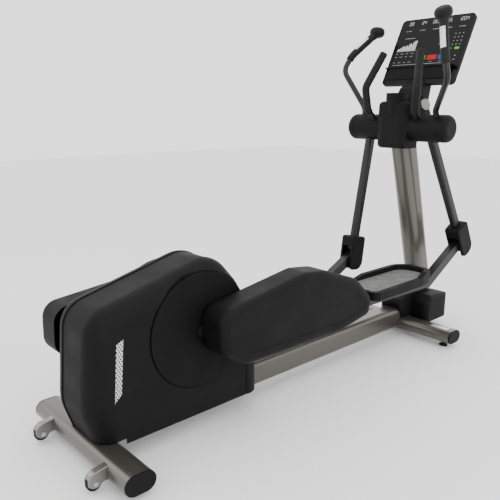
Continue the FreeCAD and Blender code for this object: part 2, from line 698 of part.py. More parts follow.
def drive_pulley():
    """A grooved pulley with a web and six windows."""
    half = PULLEY_WIDTH / 2
    rim = ring_x(CRANK_Y, CRANK_Z, PULLEY_RADIUS - 14, PULLEY_RADIUS, -half, half)
    web = rod_x(CRANK_Y, CRANK_Z, PULLEY_RADIUS - 13, -4, 4)
    hub = rod_x(CRANK_Y, CRANK_Z, SHAFT_RADIUS + 14, -half - 8, half + 2)
    whole = fuse([rim, web, hub])
    holes = [turned(rod_x(CRANK_Y + PULLEY_RADIUS * 0.55, CRANK_Z, 30, -20, 20), CRANK_Y, CRANK_Z, 60 * i)
             for i in range(6)]
    return whole.cut(Part.makeCompound(holes)).cut(crank_shaft())


# ---------------------------------------------------------------- pedal arm
def link_points():
    """The middle of the pedal arm's tube, from the crank pin to the swing pin."""
    tray_front = PIN_AHEAD - TRAY_BEFORE_PIVOT
    return [(0, 0), (tray_front - TRAY_LENGTH - 20, -LINK_SAG), (tray_front + 34, -LINK_SAG - 12),
            (PIN_AHEAD, PIN_ABOVE)]


def pedal_link():
    half = LINK_WIDTH / 2
    bar = bent_bar(link_points(), LINK_DEPTH, ARM_X - half, ARM_X + half, 2.0)
    hollow = bent_bar(link_points(), LINK_DEPTH - 2 * LINK_WALL, ARM_X - half + LINK_WALL,
                      ARM_X + half - LINK_WALL)
    hub_low = CRANK_OUTER_X + OPEN_PIVOT_GAP
    hub = rod_x(0, 0, HUB_RADIUS, hub_low, ARM_X + half + 4)
    eye = rod_x(PIN_AHEAD, PIN_ABOVE, EYE_RADIUS, ARM_X - EYE_HALF, ARM_X + EYE_HALF)
    bore = rod_x(0, 0, HUB_BORE, hub_low - 1, ARM_X + half + 6)
    eye_bore = rod_x(PIN_AHEAD, PIN_ABOVE, PIN_RADIUS + RUNNING_FIT, ARM_X - EYE_HALF - 1, ARM_X + EYE_HALF + 1)
    return fuse([bar.cut(hollow), hub, eye, *cover_straps()]).cut(bore).cut(eye_bore)


def cover_outline(shrink=0.0):
    """The cover's side: blunt at the back, highest before its middle, low in front."""
    rear, front = -COVER_REAR, PIN_AHEAD - TRAY_BEFORE_PIVOT - TRAY_LENGTH - COVER_TRAY_GAP
    length = front - rear
    low, high = -COVER_BELOW, COVER_ABOVE
    outline = [(rear, low + 66, 60), (rear - 4, high - 40, 62), (rear + length * 0.51, high + 28, 110),
               (rear + length * 0.65, high + 14, 150), (front - 96, high - 56, 130),
               (front + 6, high - 156, 46), (front - 12, low + 26, 30), (front - 200, low - 6, 90),
               (rear + 112, low, 80)]
    if not shrink:
        return side_face(outline)
    return Part.Face(side_face(outline).OuterWire.makeOffset2D(-shrink))


def moved_x(face, x):
    face = face.copy()
    face.translate(V(x, 0, 0))
    return face


def link_cover():
    """A moulded shell over the rear half of the pedal arm, open on the inner side."""
    inner_x = CRANK_OUTER_X + OPEN_PIVOT_GAP + 0.5
    block = moved_x(cover_outline(), inner_x).extrude(V(COVER_OUTER_X - inner_x, 0, 0))
    block = soften(block, COVER_ROUND, lambda p: p.x > COVER_OUTER_X - 0.01)
    core = moved_x(cover_outline(COVER_WALL), inner_x - 1)
    core = core.extrude(V(COVER_OUTER_X - COVER_WALL - inner_x + 1, 0, 0))
    core = soften(core, COVER_ROUND - COVER_WALL, lambda p: p.x > COVER_OUTER_X - COVER_WALL - 0.01)
    panel = moved_x(cover_outline(COVER_ROUND + 16), COVER_OUTER_X - 1.2).extrude(V(5, 0, 0))
    bar = bent_bar(link_points(), LINK_DEPTH + 1, ARM_X - LINK_WIDTH / 2 - 0.5, ARM_X + LINK_WIDTH / 2 + 0.5)
    return block.cut(core).cut(panel).cut(bar)


def cover_straps():
    """Two cross straps that carry the cover."""
    straps = []
    knee = link_points()[1]
    for share in (0.12, 0.72):
        y, z = knee[0] * share, knee[1] * share
        straps.append(box((ARM_X + LINK_WIDTH / 2, COVER_OUTER_X - COVER_WALL), (y - 14, y + 14), (z - 3, z + 3)))
    return straps


def tray_plan(shrink, level):
    """The tray from above: round at the toe, with a waist at the inner heel."""
    front = PIN_AHEAD - TRAY_BEFORE_PIVOT - shrink
    rear = PIN_AHEAD - TRAY_BEFORE_PIVOT - TRAY_LENGTH + shrink
    low, high = TRAY_INNER_X + shrink, TRAY_OUTER_X - shrink
    outline = [(low, rear + 40, 40 - shrink / 2), (low, front, 88 - shrink), (high - 20, front, 60 - shrink),
               (high, front - 110, 90), (high, rear, 34 - shrink / 2), (low + 90, rear, 60)]
    return plan_face(outline, level)


def pedal_tray():
    """A moulded footplate with a rim at the toe and the inner side."""
    floor = -LINK_SAG + LINK_DEPTH / 2 - 12
    top = floor + TRAY_DEPTH
    block = tray_plan(0, floor).extrude(V(0, 0, TRAY_DEPTH + TRAY_RIM))
    well = tray_plan(TRAY_LIP, top - TREAD_THICKNESS).extrude(V(0, 0, TRAY_RIM + 20))
    rear = PIN_AHEAD - TRAY_BEFORE_PIVOT - TRAY_LENGTH
    front = PIN_AHEAD - TRAY_BEFORE_PIVOT
    lowered = slab_x([(rear - 20, top + 3, 0), (front - 130, top + 3, 0), (front - 60, top + TRAY_RIM + 5, 0),
                      (rear - 20, top + TRAY_RIM + 5, 0)], TRAY_INNER_X + 60, TRAY_OUTER_X + 20)
    inner = slab_x([(rear - 20, top + 2, 0), (rear + 60, top + 2, 0), (rear + 190, top + TRAY_RIM + 5, 0),
                    (rear - 20, top + TRAY_RIM + 5, 0)], TRAY_INNER_X - 20, TRAY_INNER_X + 61)
    under = tray_plan(TRAY_WALL, floor - 1).extrude(V(0, 0, TRAY_DEPTH - TREAD_THICKNESS - TRAY_WALL + 1))
    channel = bent_bar(link_points(), LINK_DEPTH, ARM_X - LINK_WIDTH / 2, ARM_X + LINK_WIDTH / 2)
    return block.cut(well).cut(lowered).cut(inner).cut(under).cut(channel)


def pedal_tread():
    """A ribbed rubber insert that lies in the tray."""
    floor = -LINK_SAG + LINK_DEPTH / 2 - 12
    level = floor + TRAY_DEPTH - TREAD_THICKNESS
    mat = tray_plan(TRAY_LIP + 0.5, level).extrude(V(0, 0, TREAD_THICKNESS))
    rear = PIN_AHEAD - TRAY_BEFORE_PIVOT - TRAY_LENGTH
    ribs = [box((TRAY_INNER_X, TRAY_OUTER_X), (rear + 60 + 26 * i, rear + 64 + 26 * i),
                (level + TREAD_THICKNESS - 1.5, level + TREAD_THICKNESS + 1)) for i in range(14)]
    channel = bent_bar(link_points(), LINK_DEPTH, ARM_X - LINK_WIDTH / 2, ARM_X + LINK_WIDTH / 2)
    return mat.cut(Part.makeCompound(ribs)).cut(channel)


# ---------------------------------------------------------------- swing arm
def arm_bar(shrink, low, high):
    """The straight tube of the swing arm, leaning in towards its top."""
    half_x, half_y = ARM_WIDTH / 2 - shrink, ARM_DEPTH / 2 - shrink
    bar = slab_z(rectangle((ARM_X - half_x, ARM_X + half_x), (-half_y, half_y), 12 - shrink), low, high)
    bar.rotate(V(ARM_X, 0, -SWING_LENGTH + EYE_RADIUS), V(0, 1, 0), -math.degrees(math.atan2(ARM_SPLAY, SWING_LENGTH)))
    return bar


def arm_lower():
    """The tube from the pivot sleeve down to a fork for the pedal arm's eye."""
    bottom = -SWING_LENGTH + EYE_RADIUS + 12
    half_y = ARM_DEPTH / 2
    outer = arm_bar(0, bottom, -SLEEVE_RADIUS + 8)
    inner = arm_bar(ARM_WALL, bottom + 6, -SLEEVE_RADIUS + 9)
    fork_in = EYE_HALF + SIDE_GAP
    fork_out = fork_in + EAR_THICKNESS
    bridge = box((ARM_X - fork_out, ARM_X + fork_out), (-half_y + 4, half_y - 4), (bottom - 6, bottom + 6))
    ears = []
    for low, high in ((-fork_out, -fork_in), (fork_in, fork_out)):
        cheek = box((ARM_X + low, ARM_X + high), (-half_y + 4, half_y - 4), (-SWING_LENGTH, bottom + 6))
        ears.append(fuse([cheek, rod_x(0, -SWING_LENGTH, half_y - 4, ARM_X + low, ARM_X + high)]))
    tube_part = fuse([outer, bridge, *ears]).cut(inner)
    pin = rod_x(0, -SWING_LENGTH, PIN_RADIUS, ARM_X - fork_out - 1, ARM_X + fork_out + 1)
    return fuse([tube_part.cut(rod_x(0, 0, SLEEVE_RADIUS, POD_FIXED_HALF, POD_HALF)), pivot_sleeve()]).cut(pin)


def link_pin():
    reach = EYE_HALF + SIDE_GAP + EAR_THICKNESS
    pin = rod_x(0, -SWING_LENGTH, PIN_RADIUS, ARM_X - reach, ARM_X + reach)
    heads = [rod_x(0, -SWING_LENGTH, PIN_RADIUS + 4, ARM_X + low, ARM_X + low + 3) for low in (reach, -reach - 3)]
    return fuse([pin, *heads])


def pivot_boot():
    """A hollow D-shaped cover round the lower pin, open at the rear and below."""
    top, bottom = -SWING_LENGTH + BOOT_ABOVE, -SWING_LENGTH - BOOT_BELOW
    half = BOOT_DEPTH / 2
    outline = [(-half, bottom + 16, 10), (-half, top, 14), (half, top, 14), (half, bottom, 47),
               (-half + 22, bottom, 16)]
    block = slab_x(outline, ARM_X - BOOT_HALF_WIDTH, ARM_X + BOOT_HALF_WIDTH)
    block = soften(block, 7.0, lambda p: abs(p.x - ARM_X) > BOOT_HALF_WIDTH - 0.01)
    inner = Part.Face(side_face(outline, ARM_X - BOOT_HALF_WIDTH + BOOT_WALL).OuterWire.makeOffset2D(-BOOT_WALL))
    cavity = inner.extrude(V(2 * (BOOT_HALF_WIDTH - BOOT_WALL), 0, 0))
    slot_half = EYE_HALF + 4
    slot = box((ARM_X - slot_half, ARM_X + slot_half), (-half - 5, -half + 34),
               (bottom - 5, -SWING_LENGTH + 50))
    under = box((ARM_X - slot_half, ARM_X + slot_half), (-half - 5, 0), (bottom - 5, bottom + 12))
    arm = arm_bar(-0.5, top - 20, top + 20)
    return block.cut(cavity).cut(slot).cut(under).cut(arm)


def handle_points():
    """The moving handlebar, from the sleeve up and out to the hand grip's end."""
    return [(V(ARM_X + 30, 0, SLEEVE_RADIUS - 6), 0), (V(ARM_X + 32, -5, 94), 60),
            (V(ARM_X + 162, -56, 280), 64), (V(ARM_X + 146, -22, 360), 150), (V(ARM_X + 98, 106, 504), 0)]


def arm_upper():
    sleeve = rod_x(0, 0, SLEEVE_RADIUS, POD_FIXED_HALF, POD_HALF)
    return tube(handle_points(), HANDLE_RADIUS, HANDLE_RADIUS - HANDLE_WALL).cut(sleeve)


def grip_path():
    """The last stretch of the handlebar, where the hand holds it."""
    points = handle_points()
    bend, end = points[3][0], points[4][0]
    start = bend + (points[2][0] - bend).normalize() * 22
    return [(start, 0), points[3], (end, 0)]


def palm_rest():
    """A thick rounded puck, with its axis straight up."""
    puck = Part.makeCylinder(REST_RADIUS, 2 * REST_HALF_HEIGHT, V(0, 0, -REST_HALF_HEIGHT))
    return puck.makeFillet(REST_HALF_HEIGHT - 2, [e for e in puck.Edges if e.BoundBox.ZLength < 1])


def hand_grip():
    corners = grip_path()
    end, before = corners[-1][0], corners[-2][0]
    along = (end - before).normalize()
    sleeve = sweep(corners, GRIP_RADIUS)
    flare = Part.makeCone(GRIP_RADIUS, GRIP_RADIUS + 7, 44, end - along * 52, along)
    rest = palm_rest()
    rest.translate(end - along * 4)
    return sleeve.fuse(flare).fuse(rest).cut(sweep(handle_points(), HANDLE_RADIUS))


def sensor_plate():
    """The pulse sensor: a thin curved plate on the rear of the grip."""
    corners = grip_path()
    end, before = corners[-1][0], corners[-2][0]
    along = (end - before).normalize()
    start = before + along * 34
    ring = Part.makeCylinder(GRIP_RADIUS + 1.2, 92, start, along)
    ring = ring.cut(Part.makeCylinder(GRIP_RADIUS, 92, start, along))
    rear = V(0.25, -1, 0)
    rear = (rear - along * rear.dot(along)).normalize()
    side = rear.cross(along)
    window = Part.makeBox(24, 40, 92)
    window.translate(V(-12, 0, 0))
    window.Placement = FreeCAD.Placement(start, FreeCAD.Rotation(side, rear, along)).multiply(window.Placement)
    return ring.common(window)


def pivot_sleeve():
    """The steel sleeve, at the top of each arm, that turns on the pivot shaft."""
    low, high = POD_FIXED_HALF + CLEAR, POD_HALF - POD_CAP_LENGTH
    return ring_x(0, 0, SLEEVE_RADIUS - SLEEVE_WALL, SLEEVE_RADIUS, low + 6, high)


def hub_bushes():
    low, high = POD_FIXED_HALF + CLEAR, POD_HALF - POD_CAP_LENGTH
    inner = PIVOT_SHAFT_RADIUS + RUNNING_FIT
    return Part.makeCompound([ring_x(0, 0, inner, SLEEVE_RADIUS - SLEEVE_WALL, a, a + 22)
                              for a in (low + 6, high - 22)])


def hub_shell():
    """The round moulded cover of the hub, closed at its outer end."""
    low, high = POD_FIXED_HALF + CLEAR, POD_HALF
    block = rod_x(0, 0, POD_RADIUS, low, high)
    block = soften(block, 26.0, lambda p: p.x > high - 0.01)
    core = rod_x(0, 0, POD_RADIUS - POD_WALL, low - 1, high - POD_WALL)
    core = soften(core, 22.0, lambda p: p.x > high - POD_WALL - 0.01)
    groove = ring_x(0, 0, POD_RADIUS - 1.2, POD_RADIUS + 1, high - POD_CAP_LENGTH - 1, high - POD_CAP_LENGTH + 1)
    ring = ring_x(0, 0, SLEEVE_RADIUS, POD_RADIUS - POD_WALL + 0.5, low + 20, low + 24)
    arm = arm_bar(0, -POD_RADIUS - 5, -SLEEVE_RADIUS + 8)
    handle = sweep(handle_points(), HANDLE_RADIUS)
    return fuse([block.cut(core), ring]).cut(groove).cut(arm).cut(handle)


# ---------------------------------------------------------------- head
def pivot_shaft():
    return rod_x(PIVOT_Y, PIVOT_Z, PIVOT_SHAFT_RADIUS, -POD_HALF + POD_CAP_LENGTH - 6, POD_HALF - POD_CAP_LENGTH + 6)


def fixed_bar_points():
    return [(V(118, PIVOT_Y - 30, PIVOT_Z + 30), 0), (V(134, PIVOT_Y - 84, PIVOT_Z + 84), 40),
            (V(147, PIVOT_Y - 94, PIVOT_Z + 192), 62), (V(103, PIVOT_Y - 17, PIVOT_Z + 352), 0)]


def fixed_handlebar():
    return tube(fixed_bar_points(), FIXED_BAR_RADIUS, FIXED_BAR_RADIUS - HANDLE_WALL)


def fixed_grip():
    """The padded upper run of the fixed handlebar, closed at its end."""
    points = fixed_bar_points()
    bend, end = points[2][0], points[3][0]
    foot, knee = points[0][0], points[1][0]
    along = (end - bend).normalize()
    sleeve = sweep([(knee + (foot - knee) * 0.2, 0), points[1], points[2], (end + along * 5, 0)], FIXED_GRIP_RADIUS)
    sleeve = soften(sleeve, 5.0, lambda p: p.z > end.z - 8 and p.distanceToPoint(end + along * 5) < 20)
    return sleeve.cut(sweep(points, FIXED_BAR_RADIUS))


def bars_hole():
    bar = sweep(fixed_bar_points(), FIXED_BAR_RADIUS + 0.3)
    return Part.makeCompound([bar, mirrored(bar)])


def column_plan(shrink, level):
    rear, half = PIVOT_Y - COLUMN_REAR + shrink, COLUMN_TOP_HALF - shrink
    return plan_face([(-half, rear, 46 - shrink), (half, rear, 46 - shrink), (half, PIVOT_Y + 40, 0),
                      (-half, PIVOT_Y + 40, 0)], level)


def column_block(shrink):
    """The block that faces the user: full width at its top, drawn in towards its foot."""
    low, high = PIVOT_Z - 98 + shrink, PIVOT_Z + COLUMN_ABOVE - shrink
    block = column_plan(shrink, low).extrude(V(0, 0, high - low))
    block = soften(block, 22 - shrink / 2, lambda p: p.z > high - 0.01 and p.y < PIVOT_Y + 39)
    block = soften(block, 22 - shrink / 2, lambda p: p.z < low + 0.01 and p.y < PIVOT_Y + 39)
    foot, top = COLUMN_LOW_HALF - shrink, COLUMN_TOP_HALF - shrink
    trim = Part.Face(Part.makePolygon([V(x, 0, z) for x, z in (
        (foot, low), (top, PIVOT_Z + POD_RADIUS), (top + 50, PIVOT_Z + POD_RADIUS), (top + 50, low - 1),
        (foot, low - 1), (foot, low))]))
    return block.cut(both(trim.extrude(V(0, PIVOT_Y + 200, 0))))


def cup_solid(shrink, low):
    centre = V(0, PIVOT_Y - 36, low)
    return Part.makeCylinder(CUP_RADIUS + shrink, PIVOT_Z + CUP_ABOVE - low, centre)


def pod_cover():
    """The fixed middle of the head: a round barrel with a block facing the user."""
    barrel = rod_x(PIVOT_Y, PIVOT_Z, POD_RADIUS, -POD_FIXED_HALF, POD_FIXED_HALF)
    core = rod_x(PIVOT_Y, PIVOT_Z, POD_RADIUS - POD_WALL, -POD_FIXED_HALF - 1, POD_FIXED_HALF + 1)
    shell = fuse([barrel, column_block(0)]).cut(fuse([core, column_block(POD_WALL)]))
    mast = mast_bar(-0.5, PIVOT_Z - 300, PIVOT_Z + 1)
    cup = cup_solid(CUP_WALL + 0.3, PIVOT_Z + CUP_ABOVE - CUP_DEPTH - CUP_WALL - 0.3)
    return shell.cut(mast).cut(cup).cut(bars_hole())


def bottle_holder():
    """A deep open cup set into the block, with a thick rim."""
    floor = PIVOT_Z + CUP_ABOVE - CUP_DEPTH
    body = cup_solid(CUP_WALL, floor - CUP_WALL)
    body = soften(body, 2.0, lambda p: p.z > PIVOT_Z + CUP_ABOVE - 0.01)
    return body.cut(cup_solid(0, floor))


def hood_solid(shrink):
    """A rounded hood that rises from the barrel to the neck and narrows on its way."""
    low, high = PIVOT_Z + 30, PIVOT_Z + HOOD_ABOVE - shrink
    base = rectangle((-HOOD_HALF + shrink, HOOD_HALF - shrink), (PIVOT_Y + 20 + shrink, PIVOT_Y + 150 - shrink), 40)
    crown = rectangle((-NECK_HALF - 8 + shrink, NECK_HALF + 8 - shrink),
                      (PIVOT_Y + 62 + shrink, PIVOT_Y + 136 - shrink), 30)
    block = Part.makeLoft([plan_face(base, low).OuterWire, plan_face(crown, high).OuterWire], True, True)
    return soften(block, 10, lambda p: p.z > high - 0.01)


def console_neck():
    """The wedge between the barrel and the console, and the hood it stands in."""
    y, z = PIVOT_Y, PIVOT_Z
    outline = [(y + 22, z + 60, 0), (y + 18, z + 118, 14), (y + 62, z + 190, 24), (y + 128, z + 232, 6),
               (y + 178, z + 214, 8), (y + 150, z + 96, 40), (y + 58, z + 26, 0)]
    neck = slab_x(outline, -NECK_HALF, NECK_HALF)
    neck = soften(neck, 10.0, lambda p: abs(p.x) > NECK_HALF - 0.01 and p.z > z + 62)
    hollow = slab_x([(y + 30, z + 55, 0), (y + 28, z + 112, 8), (y + 68, z + 178, 14), (y + 124, z + 214, 4),
                     (y + 160, z + 200, 6), (y + 142, z + 100, 34), (y + 62, z + 30, 0)],
                    -NECK_HALF + 4, NECK_HALF - 4)
    pod = rod_x(PIVOT_Y, PIVOT_Z, POD_RADIUS + 0.3, -POD_FIXED_HALF, POD_FIXED_HALF)
    cup = cup_solid(CUP_WALL + 0.5, PIVOT_Z)
    shell = fuse([neck, hood_solid(0)]).cut(hollow).cut(hood_solid(4))
    open_below = box((-HOOD_HALF + 6, HOOD_HALF - 6), (y + 30, y + 140), (z, z + 36))
    shell = shell.cut(open_below).cut(pod).cut(cup).cut(column_block(-0.3)).cut(bars_hole())
    return shell.cut(place_console(console_envelope()))


def place_console(shape):
    """The console is drawn flat: X across, Y up its face, Z out towards the user."""
    shape = shape.copy()
    shape.rotate(ZERO, X_AXIS, 90 - CONSOLE_TILT)
    shape.translate(V(0, PIVOT_Y + CONSOLE_FORWARD, PIVOT_Z + CONSOLE_UP))
    return shape


def console_plan(shrink, level):
    return plan_face([(-CONSOLE_HALF + shrink, shrink, CONSOLE_CORNER), (CONSOLE_HALF - shrink, shrink, CONSOLE_CORNER),
                      (CONSOLE_HALF - shrink, CONSOLE_HEIGHT - shrink, CONSOLE_CORNER),
                      (-CONSOLE_HALF + shrink, CONSOLE_HEIGHT - shrink, CONSOLE_CORNER)], level)


def console_solid(shrink=0.0):
    """The casing's outer shape, shallow at the edge and deeper in the middle."""
    back = -CONSOLE_THICKNESS + shrink
    hump_back = back - CONSOLE_HUMP
    body = console_plan(shrink, back).extrude(V(0, 0, CONSOLE_THICKNESS - GLASS_THICKNESS))
    body = soften(body, 14.0 - shrink, lambda p: p.z < back + 0.01)
    hump = slab_z(rectangle((-120 + shrink, 120 - shrink), (24 + shrink, 250 - shrink), 30 - shrink),
                  hump_back, back + 2)
    hump = soften(hump, 16.0 - shrink, lambda p: p.z < hump_back + 0.01)
    return fuse([body, hump])


def console_envelope():
    """Everything the neck must stay out of: casing and front sheet."""
    return fuse([console_solid(), console_plan(0, -GLASS_THICKNESS).extrude(V(0, 0, GLASS_THICKNESS))])


def console_back():
    return place_console(console_solid().cut(console_solid(CONSOLE_WALL)))


# Keys: (x, up the face, half width, half height)
KEYS = {
    "start_key": (-12.0, 145.0, 17.0, 13.0),
    "stop_key": (42.0, 145.0, 26.0, 13.0),
    "cooldown_key": (92.0, 145.0, 15.0, 13.0),
}


def console_panel():
    """The front sheet, with a hole for each key and one for the display."""
    sheet = console_plan(0, -GLASS_THICKNESS).extrude(V(0, 0, GLASS_THICKNESS))
    sheet = soften(sheet, 1.5, lambda p: p.z > -0.01)
    holes = [slab_z(rectangle((x - a - 0.4, x + a + 0.4), (up - b - 0.4, up + b + 0.4), 2.4), -10, 10)
             for x, up, a, b in KEYS.values()]
    holes.append(display_solid(0.0))
    return place_console(sheet.cut(Part.makeCompound(holes)))


def display_solid(shrink):
    x, up = DISPLAY_X, DISPLAY_UP
    return slab_z(rectangle((x[0] + shrink, x[1] - shrink), (up[0] + shrink, up[1] - shrink), 5),
                  -GLASS_THICKNESS, -0.6)


def display_window():
    return place_console(display_solid(0.0))


def key(name):
    """A key cap that stands a little proud of the sheet, in its hole."""
    x, up, half_x, half_y = KEYS[name]
    cap = slab_z(rectangle((x - half_x, x + half_x), (up - half_y, up + half_y), 2.0), -GLASS_THICKNESS - 4, 1.2)
    return place_console(cap)


def reading_rack():
    """A shelf across the lower face, with a lip that stops a book."""
    half = CONSOLE_HALF - 8
    shelf = box((-half, half), (RACK_UP - 4, RACK_UP), (0, RACK_DEPTH))
    lip = box((-half + 40, half - 40), (RACK_UP - 4, RACK_UP + 7), (RACK_DEPTH - 3, RACK_DEPTH))
    apron = slab_x([(RACK_UP - 3, 0, 0), (RACK_UP - 3, RACK_DEPTH - 6, 0), (RACK_UP - 58, 5, 0), (RACK_UP - 64, 0, 0)],
                   -half + 24, half - 24)
    return place_console(fuse([shelf, lip, apron]))


# ---------------------------------------------------------------- mast base cover
def cover_block(shrink):
    """A bowed front part and a narrow skirt that runs back over the beam."""
    half, front = COVER_HALF - shrink, BEAM_FRONT_Y + 12.0 - shrink
    rear = FRONT_FOOT_Y + FRONT_FOOT_DEPTH / 2 + 8 + shrink
    side = slab_x([(rear, 0, 0), (rear, 172 - shrink, 34), (rear + 40, 204 - shrink, 30),
                   (front, 182 - shrink, 34), (front, 0, 0)], -half, half)
    side = soften(side, 30 - shrink, lambda p: abs(p.x) > half - 0.01 and p.z > 1)
    plan = slab_z([(-half, rear - 1, 0), (half, rear - 1, 0), (half, front, COVER_BOW), (-half, front, COVER_BOW)],
                  COVER_LOW, 300)
    lap = BEAM_HALF_WIDTH + 10 - shrink
    skirt = slab_x([(FRONT_FOOT_Y + 5 + shrink, BEAM_BOTTOM - 5, 0), (FRONT_FOOT_Y - 74 + shrink, 188 - shrink, 24),
                    (front - 120, 262 - shrink, 60), (front - 60, 120, 0), (front - 60, BEAM_BOTTOM - 5, 0)], -lap, lap)
    skirt = soften(skirt, 9 - shrink, lambda p: abs(p.x) > lap - 0.01 and p.z > BEAM_BOTTOM)
    return fuse([side.common(plan), skirt])


def mast_base_cover():
    shell = cover_block(0).cut(cover_block(COVER_SHELL))
    low = box((-COVER_HALF - 1, COVER_HALF + 1), (FRONT_FOOT_Y, BEAM_FRONT_Y + 50), (0, COVER_LOW + 0.01))
    foot = foot_bar(FRONT_FOOT_Y, FRONT_FOOT_Z, FRONT_FOOT_HALF, FRONT_FOOT_DEPTH + 2, FRONT_FOOT_HEIGHT + 2, 0)
    return shell.cut(low).cut(beam_bar(-CLEAR, FRONT_FOOT_Y - 300, BEAM_FRONT_Y)).cut(foot).cut(
        mast_bar(-1.0, BEAM_BOTTOM, PIVOT_Z - 500))


# ---------------------------------------------------------------- fasteners
def screw(point, direction, radius, height):
    """A cap screw's head with a hexagon socket."""
    head = Part.makeCylinder(radius, height, point, direction)
    return head.cut(Part.makeCylinder(radius * 0.5, height * 0.6, point + direction * (height * 0.45), direction))


def fasteners():
    """Cap screws on the foot beam and the side plates, and the two wheel axles."""
    heads = []
    up = V(0, 0, 1)
    side = V(1, 0, 0)
    axle_y, axle_z = CRANK_Y - FLYWHEEL_BEHIND_CRANK, CRANK_Z - FLYWHEEL_DROP
    for angle in (0, 90, 180, 270):
        y = CRANK_Y + 40 * math.cos(math.radians(angle + 45))
        z = CRANK_Z + 40 * math.sin(math.radians(angle + 45))
        if angle != 270:
            heads.append(screw(V(BEAM_HALF_WIDTH + PLATE_THICKNESS, y, z), side, 4.5, 5))
    for y in (CRANK_Y + 50, CRANK_Y - 110, axle_y):
        heads.append(screw(V(BEAM_HALF_WIDTH + PLATE_THICKNESS, y, 85), side, 6.5, 7))
    heads += [mirrored(h) for h in heads]
    top = REAR_FOOT_Z + REAR_FOOT_HEIGHT / 2
    heads += [screw(V(x, REAR_FOOT_Y, top), up, 6.0, 1.5) for x in (-75, 75)]
    return Part.makeCompound(heads + [wheel_axle(), mirrored(wheel_axle())])


# ---------------------------------------------------------------- the assembly
def build():
    nodes = {
        "rear_foot_beam": foot_beam(REAR_FOOT_Y, REAR_FOOT_Z, REAR_FOOT_HALF, REAR_FOOT_DEPTH,
                                    REAR_FOOT_HEIGHT, REAR_FOOT_PAD_X),
        "front_foot_beam": foot_beam(FRONT_FOOT_Y, FRONT_FOOT_Z, FRONT_FOOT_HALF, FRONT_FOOT_DEPTH,
                                     FRONT_FOOT_HEIGHT, FRONT_FOOT_PAD_X),
        "centre_beam": centre_beam(),
        "upright_mast": upright_mast(),
        "beam_end_caps": beam_end_caps(),
        "mast_base_cover": mast_base_cover(),
        "wheel_brackets": both(wheel_bracket()),
        "drive_frame": both(side_plate()),
        "crank_bearings": both(crank_bearing()),
        "shroud_right": shroud(),
        "shroud_left": mirrored(shroud()),
        "shroud_spine": shroud_spine(),
        "vent_grilles": both(vent_grille()),
        "generator": generator(),
        "drive_belt": drive_belt(),
        "flywheel": flywheel(),
        "crank_shaft": crank_shaft(),
        "crank_arms": crank_arms(),
        "crank_discs": crank_discs(),
        "drive_pulley": drive_pulley(),
        "pivot_shaft": pivot_shaft(),
        "pod_cover": pod_cover(),
        "bottle_holder": bottle_holder(),
        "console_neck": console_neck(),
        "console_back": console_back(),
        "console_panel": console_panel(),
        "display_window": display_window(),
        "reading_rack": reading_rack(),
        "fixed_handlebars": both(fixed_handlebar()),
        "fixed_grips": both(fixed_grip()),
        "fasteners": fasteners(),
        "transport_wheel_right": transport_wheel(),
        "transport_wheel_left": mirrored(transport_wheel()),
    }
    for name in KEYS:
        nodes[name] = key(name)
    for label, sign in (("right", 1), ("left", -1)):
        nodes[f"rear_levelling_foot_{label}"] = levelling_foot(
            sign * REAR_FOOT_PAD_X, REAR_FOOT_Y, REAR_FOOT_Z - REAR_FOOT_HEIGHT / 2)
        nodes[f"front_levelling_foot_{label}"] = levelling_foot(
            sign * FRONT_FOOT_PAD_X, FRONT_FOOT_Y, FRONT_FOOT_Z - FRONT_FOOT_HEIGHT / 2)
        nodes[f"pedal_link_{label}"] = place_pedal(pedal_link(), sign)
        nodes[f"link_cover_{label}"] = place_pedal(link_cover(), sign)
        nodes[f"pedal_tray_{label}"] = place_pedal(pedal_tray(), sign)
        nodes[f"pedal_tread_{label}"] = place_pedal(pedal_tread(), sign)
        nodes[f"hub_shell_{label}"] = place_swing(hub_shell(), sign)
        nodes[f"arm_lower_{label}"] = place_swing(Part.makeCompound([arm_lower(), link_pin(), hub_bushes()]), sign)
        nodes[f"arm_upper_{label}"] = place_swing(arm_upper(), sign)
        nodes[f"hand_grip_{label}"] = place_swing(hand_grip(), sign)
        nodes[f"sensor_plate_{label}"] = place_swing(sensor_plate(), sign)
        nodes[f"pivot_boot_{label}"] = place_swing(pivot_boot(), sign)
    return nodes


def main():
    os.makedirs("parts", exist_ok=True)
    for name, shape in build().items():
        box_found = shape.BoundBox
        print(f"{name:26s} solids {len(shape.Solids):2d} valid {shape.isValid()} volume {shape.Volume / 1000:9.1f} cm3"
              f"  y {box_found.YMin:7.1f}..{box_found.YMax:7.1f}  z {box_found.ZMin:6.1f}..{box_found.ZMax:6.1f}")
        shape.exportStep(f"parts/{name}.step")
    print("swing angles", SWING_RIGHT, SWING_LEFT, "tilts", TILT_RIGHT, TILT_LEFT)
    print("lower pins", RIGHT_Q, LEFT_Q)


main()
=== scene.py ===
# %% [markdown]
# An elliptical trainer: a long steel frame, a closed drive housing at the back, two pedal arms
# that ride on the cranks, two swinging handlebars and a console. The mechanical model comes in
# first and stays as it is. Every finish and every finer piece below is fitted to it.

